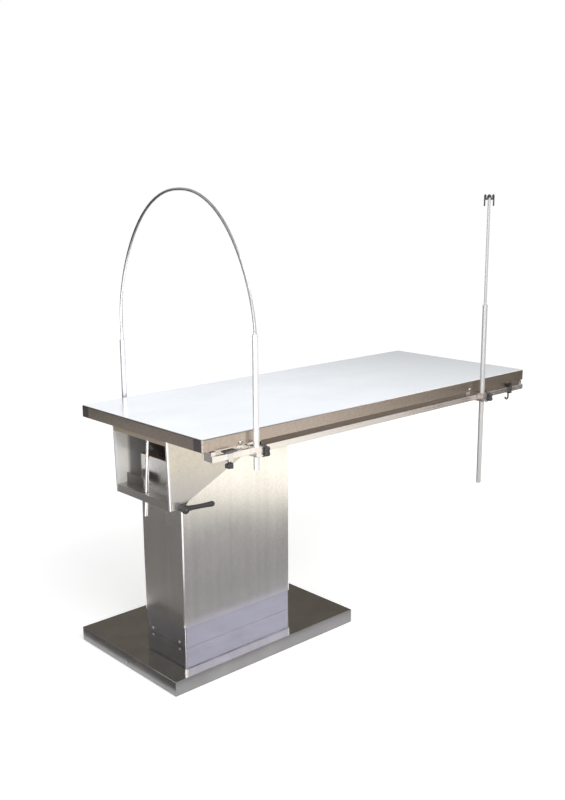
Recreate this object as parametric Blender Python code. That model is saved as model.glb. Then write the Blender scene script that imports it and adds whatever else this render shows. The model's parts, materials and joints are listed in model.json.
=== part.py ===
"""Electric operating table with a lifting column, a tilting top and rail accessories.

Metres, +Z up. The origin is the centre of the base plate's underside, on the floor.
+X runs along the top towards its long overhang, and -Y is the near side.
"""
import math

import bmesh
import bpy
from mathutils import Vector

# Gap kept between pieces that touch, and free play where one piece slides in another
GAP = 0.0003
PLAY = 0.0005

# Table top
TABLE_LENGTH = 1.400
TABLE_WIDTH = 0.570
TABLE_HEIGHT = 0.700
END_OVERHANG = 0.069
TOP_SHEET = 0.002
RIM_DEPTH = 0.035
EDGE_ROUND = 0.0008
TOP_CORNER = 0.006
TOP_EDGE = 0.004

# Base
BASE_LENGTH = 0.670
BASE_WIDTH = 0.462
BASE_HEIGHT = 0.042
BASE_SHEET = 0.002
COVER_LIFT = 0.001
PLATE_THICKNESS = 0.025
BASE_SCREW_SHANK = 0.0025
BASE_SCREW_RADIUS = 0.0045
BASE_SCREW_HEAD = 0.0022
BASE_SCREW_DEPTH = 0.010
GLAND_RADIUS = 0.010
GLAND_LENGTH = 0.014
GLAND_NUT_LENGTH = 0.006
GLAND_DOME_RADIUS = 0.0075
GLAND_TIP_RADIUS = 0.006
GLAND_INSET = 0.080

# Column: an outer sleeve that lifts over a fixed tube
SLEEVE_LENGTH = 0.402
SLEEVE_WIDTH = 0.195
SLEEVE_WALL = 0.0015
SLEEVE_CORNER = 0.008
SLEEVE_RAISE = 0.063
HEAD_DROP = 0.121
HEAD_PLATE = 0.008
SLIDE_GAP = 0.0015
COLUMN_WALL = 0.003
COLUMN_HEADROOM = 0.056
PAD_HEIGHT = 0.040
PAD_INSET = 0.020
FLANGE_HEIGHT = 0.018
FLANGE_BAR = 0.030
FOOT_SCREW_SHANK = 0.0022
FOOT_SCREW_RADIUS = 0.004
FOOT_SCREW_HEAD = 0.0015
FOOT_SCREW_RISE = 0.0105
FOOT_SCREW_INSET = 0.030

# Lifting actuator inside the column
GEARBOX_LENGTH = 0.100
GEARBOX_WIDTH = 0.084
GEARBOX_HEIGHT = 0.084
MOTOR_CLEARANCE = 0.002
MOTOR_RADIUS = 0.030
MOTOR_LENGTH = 0.125
STAGE_RADIUS = 0.040
STAGE_WALL = 0.004
OUTER_STAGE_LENGTH = 0.230
MIDDLE_STAGE_LENGTH = 0.240
MIDDLE_STAGE_START = 0.046
INNER_STAGE_START = 0.071
ACTUATOR_FLANGE_RADIUS = 0.045
ACTUATOR_FLANGE = 0.008
CONTROL_LENGTH = 0.110
CONTROL_DEPTH = 0.045
CONTROL_HEIGHT = 0.150
CONTROL_RISE = 0.090
CONTROL_INSET = 0.015

# Tilt pivot on the column head
PIVOT_X = 0.020
PIVOT_DROP = 0.082
SHAFT_RADIUS = 0.010
SHAFT_COLLAR_RADIUS = 0.017
SHAFT_COLLAR = 0.010
HINGE_BLOCK_THICKNESS = 0.030
HINGE_BLOCK_INSET = 0.018
HINGE_BLOCK_RADIUS = 0.024
HINGE_FOOT_HALF = 0.040
HINGE_FOOT_HEIGHT = 0.012

# Tilt bracket: two cheeks and a cross tray
CHEEK_THICKNESS = 0.004
CHEEK_GAP = 0.0245
CHEEK_HEAD_SETBACK = 0.0025
CHEEK_FOOT_SETBACK = 0.008
CHEEK_FOOT_DROP = 0.229
CHEEK_TOP_LENGTH = 0.457
CHEEK_CORNER_ARC = (195.0, 395.0)
HEM_RADIUS = 0.0035
HEM_INSET = 0.001
LEVER_OFFSET = 0.0225
LEVER_DROP = 0.2265
LEVER_BOSS_RADIUS = 0.0095
TRAY_DROP = 0.206
TRAY_LIP = 0.022
TRAY_SHEET = 0.003
TRAY_DEPTH = 0.034
TRAY_CLEARANCE = 0.004

# Tilt lock: a slotted quadrant behind the near cheek, a stud and a clamp lever
TILT_DEGREES = 15.0
QUADRANT_THICKNESS = 0.005
QUADRANT_MARGIN = 0.0125
QUADRANT_REACH = 0.051
QUADRANT_HEEL = 0.057
QUADRANT_CAP_END = 315.0
QUADRANT_BOSS_RADIUS = 0.009
QUADRANT_BOSS_INSET = 0.0125
QUADRANT_BOSS_STEP = 0.0195
STUD_RADIUS = 0.0055
STUD_NUT_RADIUS = 0.009
STUD_NUT = 0.008
LEVER_HUB_RADIUS = 0.012
LEVER_HUB_LENGTH = 0.024
LEVER_HUB_END_RADIUS = 0.0096
LEVER_HUB_CHAMFER = 0.004
LEVER_ARM_OFFSET = 0.0145
LEVER_LENGTH = 0.090
LEVER_RISE = 0.016
LEVER_ROOT_RADIUS = 0.006
LEVER_TIP_RADIUS = 0.0075
LEVER_END_RADIUS = 0.0038
LEVER_NECK_SETBACK = 0.040
LEVER_SWELL_SETBACK = 0.009
LEVER_FLATNESS = 0.7
LEVER_TURN = 0.0

# Stay rod, hung from an ear on the column head and led through the tray
STAY_OFFSET = 0.0352
STAY_DROP = 0.052
STAY_RADIUS = 0.0055
STAY_LENGTH = 0.222
STAY_LEAN = 4.24
STAY_EYE_RADIUS = 0.0075
STAY_EYE_WIDTH = 0.011
STAY_PIN_RADIUS = 0.003
STAY_TRAVEL = 0.0034
EAR_THICKNESS = 0.003
EAR_FOOT_LENGTH = 0.050
EAR_ARC = (60.0, 225.0)

# Frame under the top
BEAM_WIDTH = 0.030
BEAM_DEPTH = 0.018
BEAM_WALL = 0.002
CROSS_WIDTH = 0.025
CROSS_DEPTH = 0.012
CROSS_COUNT = 4
STIFFENER_HEAD_INSET = 0.250
STIFFENER_FOOT_INSET = 0.020
STIFFENER_INSET = 0.060
STIFFENER_FLANGE = 0.030
STIFFENER_DEPTH = 0.057
STIFFENER_SHEET = 0.003

# Side rails
RAIL_THICKNESS = 0.008
RAIL_DEPTH = 0.017
RAIL_STANDOFF = 0.002
RAIL_DROP = 0.012
RAIL_HEAD_INSET = 0.024
FAR_RAIL_HEAD_INSET = 0.085
RAIL_FOOT_INSET = 0.016
HANGER_WIDTH = 0.020
HANGER_PLATE = 0.004
HANGER_ARM = 0.009
HANGER_INSETS = (0.126, 0.305)
END_BLOCK_LENGTH = 0.014
END_BLOCK_INSET = 0.001
END_BLOCK_DEPTH = 0.030
RIM_BOLT_SHANK = 0.004
RIM_BOLT_RADIUS = 0.007
RIM_BOLT_HEAD = 0.0035
RIM_BOLT_DROP = 0.0295

# Clamps that ride on the rails, and their star knobs
CLAMP_WIDTH = 0.024
CLAMP_JAW = 0.006
CLAMP_UNDER = 0.0035
CLAMP_LIP = 0.003
CLAMP_BACK = 0.0035
CLAMP_FRONT = 0.006
TUBE_RADIUS = 0.008
TUBE_WALL = 0.0015
TUBE_CLEARANCE = 0.002
KNOB_RADIUS = 0.0165
KNOB_LOBE = 0.0022
KNOB_THICKNESS = 0.008
KNOB_STEM_RADIUS = 0.005
KNOB_STEM = 0.002
KNOB_CLEARANCE = 0.003
KNOB_LOBES = 5
KNOB_LOBE_FACETS = 8
KNOB_EDGE = 0.002
KNOB_FACE_INSET = 0.0018

# Bow over the head end
BOW_INSET = 0.162
BOW_TUBE_BELOW = 0.105
BOW_TUBE_ABOVE = 0.252
FAR_TUBE_DROP = 0.080
BOW_HEIGHT = 0.6175
BOW_RADIUS = 0.004
BOW_TAIL = 0.150
BOW_SIDE_POWER = 2.0 / 2.2
BOW_RISE_POWER = 2.0 / 1.6
BUSH_LENGTH = 0.020

# Infusion pole
POLE_INSET = 0.264
POLE_TUBE_BELOW = 0.345
POLE_TUBE_ABOVE = 0.246
POLE_RADIUS = 0.0045
POLE_TOP = 0.5815
POLE_TAIL = 0.160
HOOK_RADIUS = 0.0024
HOOK_CREST_RADIUS = 0.0085
HOOK_CREST_RISE = 0.001
HOOK_CUP_RADIUS = 0.005
HOOK_BEND_RADIUS = 0.0026
HOOK_LEG = 0.034
HOOK_HUB_RADIUS = 0.0055
HOOK_HUB_HEIGHT = 0.007

# Small rail fittings: a cleat near the head end and a hook near the foot end
CLEAT_INSET = 0.080
CLEAT_WIDTH = 0.016
CLEAT_PLATE_LENGTH = 0.038
CLEAT_PLATE = 0.004
CLEAT_KNOB_RADIUS = 0.0115
CLEAT_KNOB_THICKNESS = 0.013
CLEAT_KNOB_STEM = 0.006
RAIL_HOOK_INSET = 0.095
RAIL_HOOK_WIDTH = 0.012
RAIL_HOOK_RADIUS = 0.003
RAIL_HOOK_DROP = 0.014
RAIL_HOOK_BEND = 0.008

# Shares of a screw head's height and radius taken by its straight rim and its flat crown
SCREW_RIM = 0.35
SCREW_CROWN = 0.62

# Facets round a full turn, and the angles in degrees that part smooth faces and rounded edges
FINE = 24
MEDIUM = 16
COARSE = 12
THIN = 8
CORNER_STEPS = 6
SMOOTH_ANGLE = 35.0
BEVEL_ANGLE = 40.0

# Places worked out from the sizes above
SLEEVE_FACE_X = SLEEVE_LENGTH / 2
SLEEVE_FACE_Y = SLEEVE_WIDTH / 2
HEAD_END_X = -SLEEVE_FACE_X - END_OVERHANG
FOOT_END_X = HEAD_END_X + TABLE_LENGTH
HALF_WIDTH = TABLE_WIDTH / 2
RIM_BOTTOM = TABLE_HEIGHT - RIM_DEPTH
COLUMN_TOP = TABLE_HEIGHT - HEAD_DROP
COLUMN_HALF_X = SLEEVE_FACE_X - SLEEVE_WALL - SLIDE_GAP
COLUMN_HALF_Y = SLEEVE_FACE_Y - SLEEVE_WALL - SLIDE_GAP
COLUMN_INNER_X = COLUMN_HALF_X - COLUMN_WALL
COLUMN_INNER_Y = COLUMN_HALF_Y - COLUMN_WALL
COLUMN_FOOT = BASE_HEIGHT + GAP
COLUMN_HEAD = COLUMN_TOP - HEAD_PLATE - COLUMN_HEADROOM
PIVOT = Vector((PIVOT_X, 0.0, TABLE_HEIGHT - PIVOT_DROP))
CHEEK_INNER_Y = SLEEVE_FACE_Y + CHEEK_GAP
CHEEK_OUTER_Y = CHEEK_INNER_Y + CHEEK_THICKNESS
CROSS_TOP = TABLE_HEIGHT - TOP_SHEET - GAP
CROSS_BOTTOM = CROSS_TOP - CROSS_DEPTH
BEAM_TOP = CROSS_BOTTOM - GAP
BEAM_BOTTOM = BEAM_TOP - BEAM_DEPTH
BEAM_Y = (CHEEK_INNER_Y + CHEEK_OUTER_Y) / 2
CHEEK_TOP = BEAM_BOTTOM - GAP
LEVER_X = -SLEEVE_FACE_X - LEVER_OFFSET
LEVER_Z = TABLE_HEIGHT - LEVER_DROP
TRAY_FRONT = HEAD_END_X + CHEEK_FOOT_SETBACK
TRAY_TOP = TABLE_HEIGHT - TRAY_DROP
STAY_X = -SLEEVE_FACE_X - STAY_OFFSET
STAY_Z = TABLE_HEIGHT - STAY_DROP
STAY_ANGLE = math.radians(STAY_LEAN)
RAIL_BACK = HALF_WIDTH + RAIL_STANDOFF
RAIL_FRONT = RAIL_BACK + RAIL_THICKNESS
RAIL_TOP = RIM_BOTTOM - RAIL_DROP
RAIL_BOTTOM = RAIL_TOP - RAIL_DEPTH
RAIL_MIDDLE = (RAIL_TOP + RAIL_BOTTOM) / 2
TUBE_Y = RAIL_FRONT + TUBE_CLEARANCE + TUBE_RADIUS
CLAMP_OUTER = TUBE_Y + TUBE_RADIUS + CLAMP_FRONT
KNOB_Y = RAIL_FRONT + KNOB_CLEARANCE + KNOB_RADIUS
BOW_X = HEAD_END_X + BOW_INSET
POLE_X = FOOT_END_X - POLE_INSET
CLEAT_X = HEAD_END_X + CLEAT_INSET
RAIL_HOOK_X = FOOT_END_X - RAIL_HOOK_INSET
SIDES = (("near", -1.0), ("far", 1.0))


def clear_scene():
    for item in list(bpy.data.objects):
        bpy.data.objects.remove(item, do_unlink=True)


def make_material(name, colour, roughness, metallic):
    material = bpy.data.materials.new(name)
    material.use_nodes = True
    shader = material.node_tree.nodes["Principled BSDF"]
    shader.inputs["Base Color"].default_value = (*colour, 1.0)
    shader.inputs["Roughness"].default_value = roughness
    shader.inputs["Metallic"].default_value = metallic
    return material


def place(axis, along, u, v):
    """A point at (u, v) in the plane square to the axis, this far along it."""
    point = [u, v]
    point.insert("XYZ".index(axis), along)
    return Vector(point)


def circle(axis, along, centre, radius, sides):
    turns = [2 * math.pi * k / sides for k in range(sides)]
    return [place(axis, along, centre[0] + radius * math.cos(t), centre[1] + radius * math.sin(t))
            for t in turns]


def rectangle(u0, u1, v0, v1):
    return [(u0, v0), (u1, v0), (u1, v1), (u0, v1)]


def arc(centre, radius, start, end, steps):
    """Points of an arc, in degrees, with both its ends."""
    angles = [math.radians(start + (end - start) * k / steps) for k in range(steps + 1)]
    return [(centre[0] + radius * math.cos(a), centre[1] + radius * math.sin(a)) for a in angles]


def rounded(u0, u1, v0, v1, radius):
    """A rectangle's outline with round corners."""
    low_u, high_u, low_v, high_v = u0 + radius, u1 - radius, v0 + radius, v1 - radius
    outline = []
    for k, centre in enumerate(((high_u, high_v), (low_u, high_v), (low_u, low_v), (high_u, low_v))):
        outline += arc(centre, radius, 90.0 * k, 90.0 * k + 90.0, CORNER_STEPS)
    return outline


def column_outline(half_x, half_y):
    """A section of the column, whose corners share the sleeve's corner centres."""
    return rounded(-half_x, half_x, -half_y, half_y, half_x - SLEEVE_FACE_X + SLEEVE_CORNER)


def loft(bm, rings, closed=False):
    """Skin a list of rings of equal length, capped at its ends or joined round."""
    loops = [[bm.verts.new(point) for point in ring] for ring in rings]
    count = len(loops[0])
    pairs = list(zip(loops, loops[1:]))
    if closed:
        pairs.append((loops[-1], loops[0]))
    for lower, upper in pairs:
        for k in range(count):
            n = (k + 1) % count
            bm.faces.new((lower[k], lower[n], upper[n], upper[k]))
    if not closed:
        bm.faces.new(list(reversed(loops[0])))
        bm.faces.new(loops[-1])


def prism(bm, outline, axis, low, high):
    loft(bm, [[place(axis, end, u, v) for u, v in outline] for end in (low, high)])


def hollow_prism(bm, outer, inner, axis, low, high):
    """A tube of any section, open at both ends."""
    ring_order = ((outer, low), (outer, high), (inner, high), (inner, low))
    loft(bm, [[place(axis, end, u, v) for u, v in line] for line, end in ring_order], closed=True)


def box(bm, x0, x1, y0, y1, z0, z1):
    prism(bm, rectangle(x0, x1, y0, y1), "Z", z0, z1)


def cylinder(bm, axis, centre, radius, low, high, sides):
    loft(bm, [circle(axis, end, centre, radius, sides) for end in (low, high)])


def turned(bm, axis, centre, profile, sides):
    """A turned solid: the profile is a list of (radius, place along the axis)."""
    loft(bm, [circle(axis, along, centre, radius, sides) for radius, along in profile])


def pipe(bm, axis, centre, outer, inner, low, high, sides):
    ring_order = ((outer, low), (outer, high), (inner, high), (inner, low))
    loft(bm, [circle(axis, end, centre, radius, sides) for radius, end in ring_order], closed=True)


def add_screw(screws, holes, axis, centre, root, face, shank, radius, height):
    """A button-head screw from root, in its seat, out through a sheet whose outer side is at face."""
    out = math.copysign(1.0, face - root)
    seat = face + out * GAP
    profile = ((shank, root), (shank, seat), (radius, seat), (radius, seat + out * SCREW_RIM * height),
               (SCREW_CROWN * radius, seat + out * height))
    turned(screws, axis, centre, profile, COARSE)
    cylinder(holes, axis, centre, shank + GAP, root, face + out * height, COARSE)


def sweep(bm, path, radius, sides, across):
    """A round rod along a flat path; across is the direction square to the path's plane."""
    rings = []
    for k, point in enumerate(path):
        ahead = path[min(k + 1, len(path) - 1)] - path[max(k - 1, 0)]
        outward = ahead.normalized().cross(across)
        turns = [2 * math.pi * n / sides for n in range(sides)]
        rings.append([point + radius * (math.cos(t) * outward + math.sin(t) * across) for t in turns])
    loft(bm, rings)


def make_object(name, bm, material=None, origin=(0.0, 0.0, 0.0), parent=None, smooth=False):
    """Turn a mesh in world coordinates into an object whose origin is at origin."""
    bmesh.ops.recalc_face_normals(bm, faces=bm.faces)
    bmesh.ops.translate(bm, verts=bm.verts, vec=-Vector(origin))
    mesh = bpy.data.meshes.new(name)
    bm.to_mesh(mesh)
    bm.free()
    if smooth:
        mesh.shade_smooth()
        mesh.set_sharp_from_angle(angle=math.radians(SMOOTH_ANGLE))
    item = bpy.data.objects.new(name, mesh)
    bpy.context.collection.objects.link(item)
    item.location = origin
    if parent:
        item.parent = parent
        item.location = Vector(origin) - parent.location
    if material:
        mesh.materials.append(material)
    return item


def make_empty(name, location):
    empty = bpy.data.objects.new(name, None)
    bpy.context.collection.objects.link(empty)
    empty.location = location
    return empty


def combine(item, name, bm, operation="DIFFERENCE"):
    """Cut another shape out of an object, or join it on."""
    tool = make_object(name, bm)
    tool.hide_render = True
    tool.display_type = "WIRE"
    modifier = item.modifiers.new(name, "BOOLEAN")
    modifier.operation = operation
    modifier.object = tool


def round_edges(item, width, segments=2):
    modifier = item.modifiers.new("rounded edges", "BEVEL")
    modifier.width = width
    modifier.segments = segments
    modifier.limit_method = "ANGLE"
    modifier.angle_limit = math.radians(BEVEL_ANGLE)


def between(a, b):
    """Low and high of two values, so that mirrored sides can share their code."""
    return min(a, b), max(a, b)


def build_base():
    """The heavy plate with its screws, and the sheet cover that they hold."""
    half_x, half_y = BASE_LENGTH / 2, BASE_WIDTH / 2
    inner_x, inner_y = half_x - BASE_SHEET, half_y - BASE_SHEET
    bm = bmesh.new()
    box(bm, GAP - inner_x, inner_x - GAP, GAP - inner_y, inner_y - GAP, 0.0, PLATE_THICKNESS)
    plate = make_object("base_plate", bm, DARK_STEEL)

    rings = ((half_x, half_y, BASE_HEIGHT), (half_x, half_y, COVER_LIFT),
             (inner_x, inner_y, COVER_LIFT), (inner_x, inner_y, BASE_HEIGHT - BASE_SHEET))
    bm = bmesh.new()
    loft(bm, [[place("Z", z, u, v) for u, v in rectangle(-x, x, -y, y)] for x, y, z in rings])
    cover = make_object("base_cover", bm, POLISHED)
    round_edges(cover, EDGE_ROUND)

    middle = (PLATE_THICKNESS + COVER_LIFT) / 2
    head = (BASE_SCREW_SHANK, BASE_SCREW_RADIUS, BASE_SCREW_HEAD)
    screws, holes = bmesh.new(), bmesh.new()
    for side in (-1, 1):
        root = side * (half_x - BASE_SCREW_DEPTH)
        add_screw(screws, holes, "X", (0.0, middle), root, side * half_x, *head)
    combine(plate, "base screws", screws, "UNION")
    combine(cover, "base screw holes", holes)

    gland_x, gland_start = half_x - GLAND_INSET, half_y + GAP
    nut_end = gland_start + GLAND_NUT_LENGTH
    profile = ((GLAND_RADIUS, gland_start), (GLAND_RADIUS, nut_end), (GLAND_DOME_RADIUS, nut_end),
               (GLAND_TIP_RADIUS, gland_start + GLAND_LENGTH))
    bm = bmesh.new()
    turned(bm, "Y", (gland_x, BASE_HEIGHT / 2), profile, MEDIUM)
    make_object("power_gland", bm, BLACK, smooth=True)

    seat_x, seat_y = COLUMN_HALF_X, COLUMN_HALF_Y
    outer = rectangle(-seat_x, seat_x, -seat_y, seat_y)
    inner = rectangle(FLANGE_BAR - seat_x, seat_x - FLANGE_BAR, FLANGE_BAR - seat_y, seat_y - FLANGE_BAR)
    bm = bmesh.new()
    hollow_prism(bm, outer, inner, "Z", PLATE_THICKNESS + GAP, BASE_HEIGHT - BASE_SHEET - GAP)
    make_object("column_seat", bm, DARK_STEEL)


def build_fixed_column():
    """The fixed tube, the flange in its foot with its screws, and the collar that guides the sleeve."""
    outer = column_outline(COLUMN_HALF_X, COLUMN_HALF_Y)
    inner = column_outline(COLUMN_INNER_X, COLUMN_INNER_Y)
    bm = bmesh.new()
    hollow_prism(bm, outer, inner, "Z", COLUMN_FOOT, COLUMN_HEAD)
    column = make_object("lower_column", bm, STEEL, smooth=True)

    edge_x, edge_y = COLUMN_INNER_X - GAP, COLUMN_INNER_Y - GAP
    bar_x, bar_y = edge_x - FLANGE_BAR, edge_y - FLANGE_BAR
    outer = column_outline(edge_x, edge_y)
    inner = rounded(-bar_x, bar_x, -bar_y, bar_y, SLEEVE_CORNER)
    bm = bmesh.new()
    hollow_prism(bm, outer, inner, "Z", COLUMN_FOOT, COLUMN_FOOT + FLANGE_HEIGHT)
    flange = make_object("column_flange", bm, DARK_STEEL)

    screw_z = COLUMN_FOOT + FOOT_SCREW_RISE
    screw_y = COLUMN_HALF_Y - FOOT_SCREW_INSET
    head = (FOOT_SCREW_SHANK, FOOT_SCREW_RADIUS, FOOT_SCREW_HEAD)
    screws, holes = bmesh.new(), bmesh.new()
    for side in (-1, 1):
        for y in (-screw_y, screw_y):
            root = side * (COLUMN_HALF_X - FLANGE_BAR / 2)
            add_screw(screws, holes, "X", (y, screw_z), root, side * COLUMN_HALF_X, *head)
    combine(flange, "foot screws", screws, "UNION")
    combine(column, "foot screw holes", holes)

    in_x, in_y = COLUMN_HALF_X + GAP, COLUMN_HALF_Y + GAP
    out_x, out_y = COLUMN_HALF_X + SLIDE_GAP - GAP, COLUMN_HALF_Y + SLIDE_GAP - GAP
    outer, inner = column_outline(out_x, out_y), column_outline(in_x, in_y)
    bm = bmesh.new()
    hollow_prism(bm, outer, inner, "Z", COLUMN_HEAD - PAD_INSET - PAD_HEIGHT, COLUMN_HEAD - PAD_INSET)
    make_object("slide_collar", bm, NYLON)


def build_actuator(lift):
    """A motor and gearbox on the base, and three stages that carry the head plate."""
    gear_top = COLUMN_FOOT + GEARBOX_HEIGHT
    half_gear = GEARBOX_LENGTH / 2
    bm = bmesh.new()
    box(bm, -half_gear, half_gear, -GEARBOX_WIDTH / 2, GEARBOX_WIDTH / 2, COLUMN_FOOT, gear_top)
    make_object("actuator_gearbox", bm, CAST)

    motor_z = COLUMN_FOOT + FLANGE_HEIGHT + MOTOR_CLEARANCE + MOTOR_RADIUS
    motor_end = -half_gear - GAP
    bm = bmesh.new()
    cylinder(bm, "X", (0.0, motor_z), MOTOR_RADIUS, motor_end - MOTOR_LENGTH, motor_end, FINE)
    make_object("actuator_motor", bm, BLACK, smooth=True)

    outer_low = gear_top + GAP
    bm = bmesh.new()
    inner = STAGE_RADIUS - STAGE_WALL
    pipe(bm, "Z", (0.0, 0.0), STAGE_RADIUS, inner, outer_low, outer_low + OUTER_STAGE_LENGTH, FINE)
    make_object("actuator_outer_tube", bm, CAST, smooth=True)

    middle_low = gear_top + MIDDLE_STAGE_START
    middle_outer = inner - PLAY
    inner = middle_outer - STAGE_WALL
    bm = bmesh.new()
    pipe(bm, "Z", (0.0, 0.0), middle_outer, inner, middle_low, middle_low + MIDDLE_STAGE_LENGTH, FINE)
    make_object("actuator_middle_tube", bm, STEEL, smooth=True)

    rod = inner - PLAY
    head = COLUMN_TOP - HEAD_PLATE - GAP
    collar = head - ACTUATOR_FLANGE
    profile = ((rod, gear_top + INNER_STAGE_START), (rod, collar),
               (ACTUATOR_FLANGE_RADIUS, collar), (ACTUATOR_FLANGE_RADIUS, head))
    bm = bmesh.new()
    turned(bm, "Z", (0.0, 0.0), profile, FINE)
    make_object("actuator_inner_rod", bm, POLISHED, parent=lift, smooth=True)

    far_wall = COLUMN_INNER_Y - GAP
    end_wall = COLUMN_INNER_X - CONTROL_INSET
    low = COLUMN_FOOT + CONTROL_RISE
    bm = bmesh.new()
    high = low + CONTROL_HEIGHT
    box(bm, end_wall - CONTROL_LENGTH, end_wall, far_wall - CONTROL_DEPTH, far_wall, low, high)
    make_object("control_box", bm, BLACK)


def build_lift(lift):
    low = BASE_HEIGHT + SLEEVE_RAISE
    inner_x, inner_y = SLEEVE_FACE_X - SLEEVE_WALL, SLEEVE_FACE_Y - SLEEVE_WALL
    outer, inner = column_outline(SLEEVE_FACE_X, SLEEVE_FACE_Y), column_outline(inner_x, inner_y)
    bm = bmesh.new()
    hollow_prism(bm, outer, inner, "Z", low, COLUMN_TOP)
    make_object("upper_sleeve", bm, STEEL, parent=lift, smooth=True)

    bm = bmesh.new()
    edge_x, edge_y = inner_x - GAP, inner_y - GAP
    prism(bm, column_outline(edge_x, edge_y), "Z", COLUMN_TOP - HEAD_PLATE, COLUMN_TOP)
    make_object("head_plate", bm, DARK_STEEL, parent=lift)
    build_hinge_blocks(lift)
    build_quadrant(lift)
    build_stay_bracket(lift)


def build_hinge_blocks(lift):
    foot = COLUMN_TOP + GAP
    foot_top = foot + HINGE_FOOT_HEIGHT
    centre = (PIVOT.x, PIVOT.z)
    outline = [(PIVOT.x - HINGE_FOOT_HALF, foot), (PIVOT.x + HINGE_FOOT_HALF, foot),
               (PIVOT.x + HINGE_FOOT_HALF, foot_top), (PIVOT.x + HINGE_BLOCK_RADIUS, foot_top)]
    outline += arc(centre, HINGE_BLOCK_RADIUS, 0.0, 180.0, MEDIUM // 2)
    outline += [(PIVOT.x - HINGE_BLOCK_RADIUS, foot_top), (PIVOT.x - HINGE_FOOT_HALF, foot_top)]
    outer = SLEEVE_FACE_Y - SLEEVE_WALL - HINGE_BLOCK_INSET
    for name, side in SIDES:
        low, high = between(side * outer, side * (outer - HINGE_BLOCK_THICKNESS))
        bm = bmesh.new()
        prism(bm, outline, "Y", low, high)
        block = make_object("hinge_block_" + name, bm, CAST, parent=lift)
        bore = bmesh.new()
        cylinder(bore, "Y", centre, SHAFT_RADIUS + GAP, low - GAP, high + GAP, FINE)
        combine(block, "hinge bore " + name, bore)


def lever_polar():
    """Radius and angle in degrees of the lock stud about the tilt pivot, in the XZ plane."""
    reach = Vector((LEVER_X - PIVOT.x, LEVER_Z - PIVOT.z))
    return reach.length, math.degrees(math.atan2(reach.y, reach.x)) % 360.0


def build_quadrant(lift):
    """The slotted plate that the stud runs in, stood off the sleeve's near face on two bosses."""
    radius, rest = lever_polar()
    centre = (PIVOT.x, PIVOT.z)
    edge = math.degrees(QUADRANT_MARGIN / radius)
    outer = radius + QUADRANT_MARGIN
    arm = QUADRANT_REACH - SLEEVE_FACE_X
    outline = arc(centre, outer, rest - TILT_DEGREES - edge, rest, MEDIUM)
    outline += arc((LEVER_X, LEVER_Z), QUADRANT_MARGIN, rest, QUADRANT_CAP_END, COARSE // 2)[1:]
    outline += [(arm, LEVER_Z + QUADRANT_HEEL), (arm, outline[0][1])]
    back = -CHEEK_INNER_Y + GAP
    front = back + QUADRANT_THICKNESS
    bm = bmesh.new()
    prism(bm, outline, "Y", back, front)
    quadrant = make_object("tilt_quadrant", bm, STEEL, parent=lift)

    half = STUD_RADIUS + PLAY
    ends = [centre_on_arc(centre, radius, angle) for angle in (rest - TILT_DEGREES, rest)]
    slot = arc(centre, radius + half, rest - TILT_DEGREES, rest, MEDIUM)
    slot += arc(ends[1], half, rest, rest + 180.0, COARSE // 2)[1:]
    slot += arc(centre, radius - half, rest, rest - TILT_DEGREES, MEDIUM)[1:]
    turn = rest - TILT_DEGREES
    slot += arc(ends[0], half, turn + 180.0, turn + 360.0, COARSE // 2)[1:-1]
    cutter = bmesh.new()
    prism(cutter, slot, "Y", back - GAP, front + GAP)
    combine(quadrant, "quadrant slot", cutter)

    boss_x, boss_z = arm - QUADRANT_BOSS_INSET, outline[0][1] - QUADRANT_BOSS_INSET
    start, end = (back + front) / 2, -SLEEVE_FACE_Y - GAP
    bosses = bmesh.new()
    for place_x in (boss_x, boss_x - QUADRANT_BOSS_STEP):
        cylinder(bosses, "Y", (place_x, boss_z), QUADRANT_BOSS_RADIUS, start, end, MEDIUM)
    combine(quadrant, "quadrant bosses", bosses, "UNION")


def centre_on_arc(centre, radius, angle):
    turn = math.radians(angle)
    return centre[0] + radius * math.cos(turn), centre[1] + radius * math.sin(turn)


def build_stay_bracket(lift):
    """A forked bracket on the head plate, reaching past the sleeve to hold the stay rod's pin."""
    foot = COLUMN_TOP + GAP
    heel = -SLEEVE_FACE_X + 2 * STAY_EYE_RADIUS
    toe = heel + EAR_FOOT_LENGTH
    outline = [(heel, foot), (toe, foot), (toe, foot + STAY_EYE_RADIUS)]
    outline += arc((STAY_X, STAY_Z), STAY_EYE_RADIUS, *EAR_ARC, MEDIUM // 2)
    inner = STAY_EYE_WIDTH / 2 + GAP
    reach = inner + EAR_THICKNESS
    bm = bmesh.new()
    for side in (-1, 1):
        low, high = between(side * inner, side * reach)
        prism(bm, outline, "Y", low, high)
    bracket = make_object("stay_bracket", bm, STEEL, parent=lift)
    bridge = bmesh.new()
    middle = (inner + reach) / 2
    inset = EAR_THICKNESS / 2
    box(bridge, heel + inset, toe - inset, -middle, middle, foot + GAP, foot + EAR_THICKNESS)
    combine(bracket, "bracket bridge", bridge, "UNION")
    bore = bmesh.new()
    cylinder(bore, "Y", (STAY_X, STAY_Z), STAY_PIN_RADIUS + GAP, -reach - GAP, reach + GAP, MEDIUM)
    combine(bracket, "pin bore", bore)
    bm = bmesh.new()
    cylinder(bm, "Y", (STAY_X, STAY_Z), STAY_PIN_RADIUS, -reach, reach, MEDIUM)
    make_object("stay_pin", bm, POLISHED, parent=lift, smooth=True)


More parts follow.
